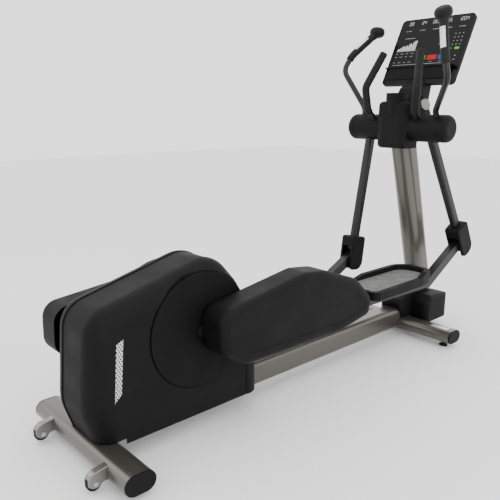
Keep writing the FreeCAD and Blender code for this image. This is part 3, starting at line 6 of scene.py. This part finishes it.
# %% Load the mechanical model
import bpy
import bmesh
import math
from mathutils import Matrix, Vector
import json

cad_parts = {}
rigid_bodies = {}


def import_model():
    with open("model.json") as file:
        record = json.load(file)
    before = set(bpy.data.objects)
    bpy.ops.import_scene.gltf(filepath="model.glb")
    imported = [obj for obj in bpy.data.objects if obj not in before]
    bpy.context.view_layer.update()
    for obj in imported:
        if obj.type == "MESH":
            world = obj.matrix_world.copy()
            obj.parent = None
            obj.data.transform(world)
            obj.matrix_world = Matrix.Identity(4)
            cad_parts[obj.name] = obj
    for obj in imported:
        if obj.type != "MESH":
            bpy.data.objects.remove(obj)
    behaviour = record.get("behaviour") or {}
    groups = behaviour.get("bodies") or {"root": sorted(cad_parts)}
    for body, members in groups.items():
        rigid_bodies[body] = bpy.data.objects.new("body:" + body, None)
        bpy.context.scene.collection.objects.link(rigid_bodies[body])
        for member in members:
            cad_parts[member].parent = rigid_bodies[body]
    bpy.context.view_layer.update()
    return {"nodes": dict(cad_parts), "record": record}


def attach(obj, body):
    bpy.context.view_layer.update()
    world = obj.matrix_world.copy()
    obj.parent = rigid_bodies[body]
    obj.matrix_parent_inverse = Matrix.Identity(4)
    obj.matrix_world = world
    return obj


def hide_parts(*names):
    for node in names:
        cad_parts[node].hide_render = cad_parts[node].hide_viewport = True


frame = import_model()

# %% [markdown]
# The camera stands behind the machine, to the right of the user's place, at about the height
# of the head, with a normal lens. Yaw is counted from straight ahead, towards the left.

# %% Camera
eye = Vector((1.738, -1.818, 1.170))
yaw, dip = math.radians(48.07), math.radians(13.44)
gaze = Vector((-math.sin(yaw) * math.cos(dip), math.cos(yaw) * math.cos(dip), -math.sin(dip)))
camera = bpy.data.objects.new("camera", bpy.data.cameras.new("camera"))
camera.data.sensor_width = 36.0
camera.data.lens = 42.83
camera.location = eye
camera.rotation_euler = gaze.to_track_quat("-Z", "Y").to_euler()
bpy.context.scene.collection.objects.link(camera)
bpy.context.scene.camera = camera
print("camera looks along", [round(c, 3) for c in gaze])

# %% [markdown]
# Black machines are lit by what they reflect. A broad soft light hangs over the machine and
# draws the bright edges of the mouldings, a second one fills the side that faces the camera,
# and the pale surroundings do the rest.

# %% Floor and lights
def area_light(name, place, target, size, watts):
    """A soft rectangular lamp that points at a target."""
    lamp = bpy.data.objects.new(name, bpy.data.lights.new(name, "AREA"))
    lamp.data.shape = "RECTANGLE"
    lamp.data.size, lamp.data.size_y = size
    lamp.data.energy = watts
    lamp.location = place
    lamp.rotation_euler = (Vector(target) - Vector(place)).to_track_quat("-Z", "Y").to_euler()
    bpy.context.scene.collection.objects.link(lamp)


def finish_shader(name, colour, roughness, metallic=0.0):
    """A new material and its main shader, with the plain values set."""
    material = bpy.data.materials.new(name)
    material.use_nodes = True
    shader = material.node_tree.nodes["Principled BSDF"]
    shader.inputs["Base Color"].default_value = (*colour, 1.0)
    shader.inputs["Roughness"].default_value = roughness
    shader.inputs["Metallic"].default_value = metallic
    return material, shader


ground = bmesh.new()
bmesh.ops.create_grid(ground, x_segments=1, y_segments=1, size=12.0)
ground_mesh = bpy.data.meshes.new("floor")
ground.to_mesh(ground_mesh)
floor = bpy.data.objects.new("floor", ground_mesh)
bpy.context.scene.collection.objects.link(floor)
floor_material, floor_shader = finish_shader("pale_floor", (0.86, 0.86, 0.86), 0.6)
floor.data.materials.append(floor_material)

world = bpy.data.worlds.new("studio")
world.use_nodes = True
sky = world.node_tree.nodes["Background"]
sky.inputs["Color"].default_value = (1.0, 1.0, 1.0, 1.0)
sky.inputs["Strength"].default_value = 2.0
bpy.context.scene.world = world
area_light("overhead", (0.3, -0.2, 3.4), (0.0, 0.0, 0.4), (2.6, 3.4), 16.0)
area_light("right_fill", (2.9, -0.6, 1.9), (0.0, 0.0, 0.6), (1.6, 2.2), 22.0)
area_light("rear_left", (-2.6, -2.4, 2.4), (0.0, -0.2, 0.6), (1.4, 2.0), 12.0)

# %% [markdown]
# Every finish is worked out from a point's own place on the machine, so patterns stay put when
# a pedal or an arm moves. Three small helpers cover most of it: a soft change of colour, a
# change of gloss, and a fine relief.

# %% Pattern helpers
def node(material, kind, **values):
    """A new shader node with some of its properties set."""
    made = material.node_tree.nodes.new(kind)
    for key, value in values.items():
        setattr(made, key, value)
    return made


def link(material, a, output, b, entry):
    material.node_tree.links.new(a.outputs[output], b.inputs[entry])


def place_on(material, stretch=(1.0, 1.0, 1.0)):
    """The point's own coordinates, stretched where a pattern runs one way."""
    coordinates = node(material, "ShaderNodeTexCoord")
    mapping = node(material, "ShaderNodeMapping")
    mapping.inputs["Scale"].default_value = stretch
    link(material, coordinates, "Object", mapping, "Vector")
    return mapping


def noise(material, scale, detail=3.0, stretch=(1.0, 1.0, 1.0)):
    made = node(material, "ShaderNodeTexNoise")
    made.inputs["Scale"].default_value = scale
    made.inputs["Detail"].default_value = detail
    link(material, place_on(material, stretch), "Vector", made, "Vector")
    return made


def vary_colour(material, shader, dark, light, scale, detail=4.0, stretch=(1.0, 1.0, 1.0)):
    """The colour drifts between two close shades."""
    ramp = node(material, "ShaderNodeValToRGB")
    ramp.color_ramp.elements[0].position, ramp.color_ramp.elements[1].position = 0.3, 0.7
    ramp.color_ramp.elements[0].color = (*dark, 1.0)
    ramp.color_ramp.elements[1].color = (*light, 1.0)
    link(material, noise(material, scale, detail, stretch), "Fac", ramp, "Fac")
    link(material, ramp, "Color", shader, "Base Color")


def vary_gloss(material, shader, low, high, scale, detail=4.0, stretch=(1.0, 1.0, 1.0)):
    """The roughness drifts, as where hands and cloths have polished a surface."""
    spread = node(material, "ShaderNodeMapRange")
    spread.inputs["From Min"].default_value, spread.inputs["From Max"].default_value = 0.3, 0.7
    spread.inputs["To Min"].default_value, spread.inputs["To Max"].default_value = low, high
    link(material, noise(material, scale, detail, stretch), "Fac", spread, "Value")
    link(material, spread, "Result", shader, "Roughness")


def relief(material, shader, source, output, strength, depth):
    """Turns a pattern into fine surface relief of the given depth in metres."""
    bump = node(material, "ShaderNodeBump")
    bump.inputs["Strength"].default_value = strength
    bump.inputs["Distance"].default_value = depth
    link(material, source, output, bump, "Height")
    link(material, bump, "Normal", shader, "Normal")


# %% [markdown]
# The covers are injection moulded in black ABS with a fine spark-eroded grain. Seen close, the
# grain is a field of tiny rounded cells, which a Voronoi pattern gives directly.

# %% Moulded black plastic
def moulded(name, dark, light, gloss, grain=1400.0, depth=0.00012, shine=0.12):
    material, shader = finish_shader(name, light, gloss[0])
    vary_colour(material, shader, dark, light, 6.0)
    vary_gloss(material, shader, gloss[0], gloss[1], 9.0)
    cells = node(material, "ShaderNodeTexVoronoi")
    cells.inputs["Scale"].default_value = grain
    link(material, place_on(material), "Vector", cells, "Vector")
    relief(material, shader, cells, "Distance", 0.35, depth)
    shader.inputs["Specular IOR Level"].default_value = shine
    return material


black_plastic = moulded("black_moulded_plastic", (0.0026, 0.0026, 0.0028),
                        (0.0042, 0.0042, 0.0044), (0.54, 0.64))
disc_plastic = moulded("disc_plastic", (0.0018, 0.0018, 0.0020),
                       (0.0030, 0.0030, 0.0032), (0.58, 0.66))
print("plastics", black_plastic.name, disc_plastic.name)

# %% [markdown]
# The frame tubes wear a warm grey metallic paint: flakes under a clear coat. A very fine noise
# in the colour reads as flake, and the coat keeps the highlight sharp while the base is soft.

# %% Metallic paint and bare metals
def metallic_paint(name, dark, light, roughness, coat=0.35):
    material, shader = finish_shader(name, light, roughness, 0.75)
    vary_colour(material, shader, dark, light, 2600.0, 1.0)
    shader.inputs["Coat Weight"].default_value = coat
    shader.inputs["Coat Roughness"].default_value = 0.18
    orange_peel = noise(material, 260.0, 2.0)
    relief(material, shader, orange_peel, "Fac", 0.12, 0.0001)
    return material


def machined(name, dark, light, roughness, stretch=(1.0, 1.0, 1.0)):
    """Bare metal with fine tool marks that run across the stretched axis."""
    material, shader = finish_shader(name, light, roughness[0], 1.0)
    vary_colour(material, shader, dark, light, 40.0, 3.0)
    vary_gloss(material, shader, roughness[0], roughness[1], 300.0, 2.0, stretch)
    relief(material, shader, noise(material, 700.0, 2.0, stretch), "Fac", 0.15, 0.0001)
    return material


frame_paint = metallic_paint("warm_grey_paint", (0.078, 0.072, 0.062),
                             (0.122, 0.113, 0.098), 0.36)
bracket_paint = metallic_paint("bracket_grey", (0.16, 0.153, 0.142),
                               (0.24, 0.23, 0.215), 0.30)
silver_trim = metallic_paint("silver_trim", (0.56, 0.56, 0.57), (0.68, 0.68, 0.69), 0.32)
bare_steel = machined("bare_steel", (0.42, 0.42, 0.43), (0.56, 0.56, 0.57), (0.22, 0.36),
                      stretch=(0.2, 1.0, 1.0))
cast_aluminium = machined("cast_aluminium", (0.45, 0.46, 0.47), (0.6, 0.61, 0.62), (0.4, 0.55))
cast_iron = machined("turned_iron", (0.10, 0.10, 0.105), (0.17, 0.17, 0.175), (0.35, 0.5))
print("metals", frame_paint.name, bracket_paint.name, bare_steel.name)

# %% [markdown]
# Grips, tread, wheels and feet are rubber: matt, slightly mottled, with a coarser relief than
# the plastic. The steel arms are powder coated, which leaves a faint orange peel.

# %% Rubbers and powder coat
def rubber(name, dark, light, gloss, scale=900.0, depth=0.0002):
    material, shader = finish_shader(name, light, gloss[0])
    vary_colour(material, shader, dark, light, 25.0)
    vary_gloss(material, shader, gloss[0], gloss[1], 14.0)
    relief(material, shader, noise(material, scale, 4.0), "Fac", 0.4, depth)
    shader.inputs["Specular IOR Level"].default_value = 0.16
    return material


def powder_coat(name, dark, light, roughness):
    material, shader = finish_shader(name, light, roughness)
    vary_colour(material, shader, dark, light, 12.0)
    vary_gloss(material, shader, roughness - 0.04, roughness + 0.05, 20.0)
    relief(material, shader, noise(material, 420.0, 3.0), "Fac", 0.3, 0.00015)
    shader.inputs["Specular IOR Level"].default_value = 0.3
    return material


grip_rubber = rubber("grip_rubber", (0.0045, 0.0045, 0.0048), (0.0075, 0.0075, 0.0078), (0.5, 0.62))
wheel_rubber = rubber("wheel_rubber", (0.008, 0.008, 0.008), (0.016, 0.016, 0.016), (0.55, 0.7))
tread_rubber = rubber("tread_rubber", (0.10, 0.10, 0.098), (0.15, 0.15, 0.147), (0.6, 0.75))
belt_rubber = rubber("belt_rubber", (0.010, 0.010, 0.010), (0.016, 0.016, 0.016), (0.6, 0.7))
black_coat = powder_coat("black_powder_coat", (0.0045, 0.0045, 0.0048),
                         (0.008, 0.008, 0.0083), 0.34)
print("rubbers ready")

# %% [markdown]
# The console's front sheet is smoked acrylic, polished but wiped daily, so its gloss is uneven.
# The three keys are coloured plastic caps, and the moulded finish suits them as it is.

# %% Console glass and keys
console_glass, glass_shader = finish_shader("console_front", (0.005, 0.005, 0.0055), 0.12)
vary_colour(console_glass, glass_shader, (0.0018, 0.0018, 0.0021), (0.003, 0.003, 0.0034), 4.0)
vary_gloss(console_glass, glass_shader, 0.16, 0.26, 5.0)
glass_shader.inputs["Specular IOR Level"].default_value = 0.12
KEY_GLOSS = (0.35, 0.45)
key_green = moulded("green_key", (0.012, 0.17, 0.008), (0.02, 0.24, 0.012), KEY_GLOSS)
key_red = moulded("red_key", (0.26, 0.003, 0.003), (0.36, 0.005, 0.005), KEY_GLOSS)
key_blue = moulded("blue_key", (0.006, 0.045, 0.22), (0.01, 0.07, 0.32), KEY_GLOSS)
print("console", console_glass.name, "keys", key_green.name, key_red.name, key_blue.name)

# %% [markdown]
# Each node of the mechanical model names a material slot. One table turns the slots into
# finishes, and a loop puts them on.

# %% Paint the mechanical model
FINISH = {
    "frame_paint": frame_paint, "cast_bracket": bracket_paint, "black_plastic": black_plastic,
    "disc_plastic": disc_plastic, "bare_steel": bare_steel, "cast_aluminium": cast_aluminium,
    "flywheel_iron": cast_iron, "belt_rubber": belt_rubber, "silver_trim": silver_trim,
    "black_steel": black_coat, "console_glass": console_glass, "grip_rubber": grip_rubber,
    "tread_rubber": tread_rubber, "wheel_rubber": wheel_rubber, "foot_rubber": wheel_rubber,
    "green_key": key_green, "red_key": key_red, "blue_key": key_blue,
}


def solids_of(name):
    """The mesh objects of a node: itself, or its children where it has several solids."""
    found = frame["nodes"][name]
    return [found] if found.type == "MESH" else found.children


for part in frame["record"]["subparts"]:
    for solid in solids_of(part["node"]):
        solid.data.materials.clear()
        solid.data.materials.append(FINISH[part["material_slot"]])

# %% [markdown]
# The pulse sensors are thin stainless plates, pressed with rows of small dots that the hands can
# feel. A grid of round dimples is a Voronoi pattern with no randomness, used as relief.

# %% Sensor plates
sensor_steel = machined("dimpled_steel", (0.58, 0.58, 0.57), (0.72, 0.72, 0.71), (0.3, 0.42))
sensor_shader = sensor_steel.node_tree.nodes["Principled BSDF"]
dimples = node(sensor_steel, "ShaderNodeTexVoronoi")
dimples.inputs["Scale"].default_value = 300.0
dimples.inputs["Randomness"].default_value = 0.0
link(sensor_steel, place_on(sensor_steel), "Vector", dimples, "Vector")
relief(sensor_steel, sensor_shader, dimples, "Distance", 0.9, 0.0008)
sensor_shader.inputs["Metallic"].default_value = 0.35
for side in ("right", "left"):
    for solid in solids_of("sensor_plate_" + side):
        solid.data.materials[0] = sensor_steel
print("sensor plates wear", sensor_steel.name)

# %% [markdown]
# Small flat things come next: the printed marks, the display's digits, the vent's net. They are
# all drawn as flat faces on a plane, given a thickness together, and then laid on the surface
# that they belong to. These helpers do the drawing and the laying.

# %% Flat drawing helpers
def flat_plate(sheet, x, up, half_x, half_up, corner=0.0):
    """A rectangle on the drawing plane, with its corners rounded."""
    place = Matrix.Translation((x, up, 0.0)) @ Matrix.Diagonal((half_x, half_up, 1.0, 1.0))
    made = bmesh.ops.create_grid(sheet, x_segments=1, y_segments=1, size=1.0, matrix=place)
    if corner:
        bmesh.ops.bevel(sheet, geom=made["verts"], offset=corner, segments=3, profile=0.5,
                        affect="VERTICES", material=-1)


def finished_piece(sheet, name, material, body):
    """Puts a mesh into the scene with its finish, and lets it ride on a body."""
    bmesh.ops.recalc_face_normals(sheet, faces=sheet.faces)
    mesh = bpy.data.meshes.new(name)
    sheet.to_mesh(mesh)
    sheet.free()
    mesh.materials.append(material)
    piece = bpy.data.objects.new(name, mesh)
    bpy.context.scene.collection.objects.link(piece)
    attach(piece, body)
    print(name, len(mesh.polygons), "faces")
    return piece


def raise_and_lay(sheet, thickness, place):
    """Gives the flat faces a thickness and lays them on their surface."""
    everything = sheet.faces[:] + sheet.edges[:] + sheet.verts[:]
    bmesh.ops.solidify(sheet, geom=everything, thickness=thickness)
    bmesh.ops.transform(sheet, matrix=place, verts=sheet.verts)


CONSOLE_LEAN = 27.3  # degrees from upright
CONSOLE_FACE = (Matrix.Translation((0.0, 0.849, 1.285))
                @ Matrix.Rotation(math.radians(90 - CONSOLE_LEAN), 4, "X"))
INK_THICKNESS = 0.0003


def above_console(height):
    """The drawing plane laid over the console's front, at a height above it."""
    return CONSOLE_FACE @ Matrix.Translation((0, 0, height))


print("console face points to", [round(c, 3) for c in CONSOLE_FACE.to_3x3() @ Vector((0, 0, 1))])

# %% [markdown]
# The figures along the top are seven-bar digits, as on any exercise machine. A digit is made of
# up to seven long hexagons, so one hexagon and a table of which bars are lit make them all.

# %% Display digits
lit_grey, lit_shader = finish_shader("display_grey", (0.42, 0.42, 0.43), 0.5)
vary_colour(lit_grey, lit_shader, (0.30, 0.30, 0.31), (0.46, 0.46, 0.47), 55.0)
BARS = {"0": "abcdef", "1": "bc", "2": "abged", "3": "abgcd", "4": "fgbc", "5": "afgcd",
        "6": "afgedc", "8": "abcdefg"}
# Each bar's place across and up, in digit widths and half heights, and whether it lies level.
BAR_PLACE = {"a": (0.0, 1.0, True), "b": (0.5, 0.5, False), "c": (0.5, -0.5, False),
             "d": (0.0, -1.0, True), "e": (-0.5, -0.5, False), "f": (-0.5, 0.5, False),
             "g": (0.0, 0.0, True)}
FIGURE_HEIGHT, FIGURE_PITCH, FIGURE_ROW = 0.021, 0.0135, 0.347


def digit(sheet, figure, x, up, height):
    """Draws one figure from its lit bars."""
    half, width, bar = height / 2 - 0.0012, height * 0.42, height * 0.065
    for name in BARS[figure]:
        across, rise, level = BAR_PLACE[name]
        long_half = (width if level else half) / 2 * 0.94
        turn = Matrix.Rotation(math.radians(90 if level else 0), 4, "Z")
        place = Matrix.Translation((x + across * width, up + rise * half, 0.0)) @ turn
        bmesh.ops.create_circle(sheet, cap_ends=True, segments=6, radius=1.0,
                                matrix=place @ Matrix.Diagonal((bar, long_half, 1.0, 1.0)))


figures = bmesh.new()
GROUPS = (("08", -0.144), ("24", -0.070), ("063", 0.000), ("15", 0.074), ("1204", 0.150))
for group, centre in GROUPS:
    for i, figure in enumerate(group):
        x = centre + (i - (len(group) - 1) / 2) * FIGURE_PITCH
        digit(figures, figure, x, FIGURE_ROW, FIGURE_HEIGHT)
raise_and_lay(figures, INK_THICKNESS, above_console(INK_THICKNESS))
finished_piece(figures, "display_digits", lit_grey, "frame")

# %% [markdown]
# Under the figures lies the workout profile, a skyline of bars on a thin base line. Each bar
# stands for one stage of a workout, so a list of heights and one pitch draw them all.

# %% Workout profile
profile = bmesh.new()
LEVELS_MM = (10, 12, 16, 22, 26, 20, 28, 24, 34, 40, 30, 46, 52, 52)
FIRST_LEVEL_X, LEVEL_PITCH = -0.174, 0.0076
for i, level in enumerate(LEVELS_MM):
    half = level * 0.0005
    flat_plate(profile, FIRST_LEVEL_X + i * LEVEL_PITCH, 0.194 + half, 0.0032, half, 0.0006)
flat_plate(profile, -0.124, 0.191, 0.055, 0.0014)
raise_and_lay(profile, INK_THICKNESS, above_console(INK_THICKNESS))
finished_piece(profile, "workout_profile", lit_grey, "frame")

# %% [markdown]
# Captions and the number pad are printed in grey. They are too small to read, so each one is a
# short rounded bar, and the rows come from a few starts and pitches.

# %% Printed captions and number pad
print_ink, ink_shader = finish_shader("grey_print", (0.16, 0.16, 0.165), 0.6)
vary_colour(print_ink, ink_shader, (0.12, 0.12, 0.125), (0.19, 0.19, 0.195), 60.0)
marks = bmesh.new()
KEY_ROWS, KEY_COLUMNS, KEY_PITCH_X, KEY_PITCH_UP = 5, 3, 0.020, 0.0198
for row in (0.176, 0.158, 0.126):
    for i in range(4):
        flat_plate(marks, -0.172 + i * 0.030, row, 0.0085 if i % 2 else 0.0065, 0.0016, 0.0007)
for centre in (-0.150, -0.071, 0.004, 0.078, 0.150):
    flat_plate(marks, centre - 0.008, 0.305, 0.0028, 0.0028, 0.0014)
    flat_plate(marks, centre + 0.010, 0.305, 0.0110, 0.0020, 0.0008)
flat_plate(marks, -0.124, 0.262, 0.030, 0.0018, 0.0008)
for row in (0.264, 0.248, 0.232, 0.216):
    flat_plate(marks, 0.060, row, 0.0042, 0.0020, 0.0009)
for row in range(KEY_ROWS):
    for column in range(KEY_COLUMNS):
        if row < KEY_ROWS - 1 or column == 0:
            flat_plate(marks, 0.132 + column * KEY_PITCH_X, 0.267 - row * KEY_PITCH_UP,
                       0.0030, 0.0026, 0.0013)
flat_plate(marks, 0.166, 0.147, 0.0040, 0.0022, 0.0010)
flat_plate(marks, 0.166, 0.126, 0.0050, 0.0022, 0.0010)
for x in (-0.012, 0.042, 0.092):
    flat_plate(marks, x, 0.122, 0.0090, 0.0013, 0.0006)
raise_and_lay(marks, INK_THICKNESS, above_console(INK_THICKNESS))
finished_piece(marks, "printed_marks", print_ink, "frame")

# %% [markdown]
# The enter pad is the one bright touch key of the number pad, and it stands a little proud.

# %% Enter pad
PAD_THICKNESS = 0.0008
enter_pad = bmesh.new()
flat_plate(enter_pad, 0.163, 0.187, 0.0120, 0.0060, 0.0030)
raise_and_lay(enter_pad, PAD_THICKNESS, above_console(PAD_THICKNESS))
key_bright = moulded("bright_green_key", (0.06, 0.36, 0.012), (0.09, 0.46, 0.02), KEY_GLOSS)
finished_piece(enter_pad, "enter_pad", key_bright, "frame")

# %% [markdown]
# One light detail finishes the console: a painted highlight along the edge of the reading shelf,
# drawn as a thin pale strip along its lip.

# %% Painted highlight on the shelf edge
SHELF_LIP = 0.0246  # how far the lip stands out from the console's front
# A pale strip on the lip, painted on as the shelf edge's highlight.
shelf_edge = bmesh.new()
flat_plate(shelf_edge, 0.0, 0.0965, 0.1560, 0.0014)
raise_and_lay(shelf_edge, 0.0008, above_console(SHELF_LIP))
finished_piece(shelf_edge, "shelf_edge", print_ink, "frame")

# %% [markdown]
# The vent behind each crank is a slanted strip of bright honeycomb net over a hollow, and a black
# plate behind the net is painted shade for that hollow. Each cell is a hexagon that is inset and
# loses its middle, which leaves the walls. Neighbours share their walls once doubles are merged,
# and the strip's outline is cut with four planes.

# %% Honeycomb vents
VENT = {"low": 0.231, "high": 0.445, "middle_y": -0.943, "width": 0.026, "lean": 0.008}
CELL_PITCH, CELL_WALL, NET_THICKNESS, BACK_THICKNESS = 0.0098, 0.0018, 0.0012, 0.0010
NET_OUT, BACK_OUT = 0.1302, 0.1272  # distances from the machine's middle plane


def vent_strip(pitch):
    """Hexagon cells over the strip's whole rectangle, drawn about its middle."""
    net = bmesh.new()
    half_height = (VENT["high"] - VENT["low"]) / 2 + pitch
    radius = pitch / math.sqrt(3)
    rows = int(half_height / (radius * 1.5)) + 1
    for row in range(-rows, rows + 1):
        for column in range(-3, 4):
            leaning = row * radius * 1.5 * 2 * VENT["lean"] / (2 * half_height)
            x = (column + (row % 2) * 0.5) * pitch + leaning
            bmesh.ops.create_circle(net, cap_ends=True, segments=6, radius=radius,
                                    matrix=Matrix.Translation((x, row * radius * 1.5, 0.0)))
    return net


def trim_to_strip(net):
    """Cuts the drawing to the slanted strip with its ends at a slope."""
    half, tall = VENT["width"] / 2, (VENT["high"] - VENT["low"]) / 2
    lean, low = VENT["lean"], -(VENT["high"] - VENT["low"]) / 2
    corners = [Vector((half - lean, low + VENT["width"], 0)), Vector((half + lean, tall, 0)),
               Vector((-half + lean, tall - VENT["width"] / 2, 0)), Vector((-half - lean, low, 0))]
    for here, after in zip(corners, corners[1:] + corners[:1]):
        outward = (after - here).cross(Vector((0, 0, 1)))
        bmesh.ops.bisect_plane(net, geom=net.faces[:] + net.edges[:] + net.verts[:],
                               plane_co=here, plane_no=outward, clear_outer=True)


def onto_side(sign, out):
    """From the drawing plane to a side of the housing, with its top upwards."""
    middle_z = (VENT["high"] + VENT["low"]) / 2
    return Matrix(((0, 0, sign, sign * out), (1, 0, 0, VENT["middle_y"]),
                   (0, 1, 0, middle_z), (0, 0, 0, 1)))


# The black plate behind each net is painted shade for the hollow under it.
vent_bright = metallic_paint("vent_silver", (0.62, 0.62, 0.62), (0.76, 0.76, 0.76), 0.4)
for side, sign in (("right", 1), ("left", -1)):
    net = vent_strip(CELL_PITCH)
    walls = bmesh.ops.inset_individual(net, faces=net.faces[:], thickness=CELL_WALL,
                                       use_even_offset=True)
    rims = set(walls["faces"])
    middles = [face for face in net.faces if face not in rims]
    bmesh.ops.delete(net, geom=middles, context="FACES")
    bmesh.ops.remove_doubles(net, verts=net.verts, dist=0.0001)
    trim_to_strip(net)
    raise_and_lay(net, NET_THICKNESS, onto_side(sign, NET_OUT))
    net_piece = finished_piece(net, "vent_net_" + side, vent_bright, "frame")
    back = bmesh.new()
    flat_plate(back, 0.0, 0.0, 0.03, 0.13)
    trim_to_strip(back)
    raise_and_lay(back, BACK_THICKNESS, onto_side(sign, BACK_OUT))
    finished_piece(back, "vent_backing_" + side, disc_plastic, "frame")
    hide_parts("vent_grilles")

# %% [markdown]
# A round cap closes the boss on each side of the hood. Its shape is that of a turned part, so
# it is a profile spun once round, with a shallow dish inside a raised rim.

# %% Hood caps
def turned_profile(outline, place):
    """Spins a (radius, height) outline once round its own axis."""
    turned = bmesh.new()
    points = [turned.verts.new((radius, 0.0, height)) for radius, height in outline]
    edges = [turned.edges.new(pair) for pair in zip(points, points[1:])]
    bmesh.ops.spin(turned, geom=points + edges, cent=(0, 0, 0), axis=(0, 0, 1),
                   angle=math.tau, steps=48, use_merge=True)
    bmesh.ops.remove_doubles(turned, verts=turned.verts, dist=0.00001)
    bmesh.ops.transform(turned, matrix=place, verts=turned.verts)
    return turned


cap_outline = ((0.0, 0.0022), (0.021, 0.0022), (0.0225, 0.0030), (0.0240, 0.0040),
               (0.0265, 0.0040), (0.0280, 0.0028), (0.0284, 0.0), (0.0284, -0.012),
               (0.0, -0.012))
for side, sign in (("right", 1), ("left", -1)):
    facing = Vector((sign * 0.92, -0.30, 0.25)).to_track_quat("Z", "Y").to_matrix().to_4x4()
    cap = turned_profile(cap_outline, Matrix.Translation((sign * 0.0835, 0.820, 1.186)) @ facing)
    finished_piece(cap, "hood_cap_" + side, bracket_paint, "frame")

# %% [markdown]
# Between each crank disc and the housing is a thin dark gap. A black ring behind it is painted
# shade for the gap, and it also stops daylight from the other side. The crank's end gets a round
# cap.

# %% Gap shade rings and crank caps
CRANK_CENTRE = Vector((0.0, -0.607, 0.397))


def facing_side(sign, out):
    """Turns a lathe-made piece so that its top faces outwards from the crank's middle."""
    turn = Matrix.Rotation(math.radians(90 * sign), 4, "Y")
    return Matrix.Translation(CRANK_CENTRE + Vector((sign * out, 0, 0))) @ turn


# The black ring in each gap is painted shade, and it also blocks light from the other side.
gap_shade_outline = ((0.204, 0.0), (0.219, 0.0), (0.219, -0.0015), (0.204, -0.0015), (0.204, 0.0))
crank_cap_outline = ((0.0, 0.0030), (0.0150, 0.0030), (0.0180, 0.0022), (0.0200, 0.0),
                     (0.0200, -0.001), (0.0, -0.001))
GAP_SHADE_OUT, CRANK_CAP_OUT = 0.1245, 0.1427
for side, sign in (("right", 1), ("left", -1)):
    gap_shade_ring = turned_profile(gap_shade_outline, facing_side(sign, GAP_SHADE_OUT))
    finished_piece(gap_shade_ring, "disc_seal_" + side, disc_plastic, "frame")
    crank_cap = turned_profile(crank_cap_outline, facing_side(sign, CRANK_CAP_OUT))
    finished_piece(crank_cap, "crank_cap_" + side, disc_plastic, "crank")

# %% [markdown]
# A plain bright plate lies near the right end of the front foot beam. It is a thin rounded
# rectangle on the flat top of the tube.

# %% Foot plate
FOOT_TOP = 0.0905
foot_plate = bmesh.new()
flat_plate(foot_plate, 0.268, 0.797, 0.046, 0.017, 0.003)
raise_and_lay(foot_plate, 0.0006, Matrix.Translation((0, 0, FOOT_TOP)))
finished_piece(foot_plate, "foot_plate_right", silver_trim, "frame")

# %% [markdown]

# %% Last import
import json
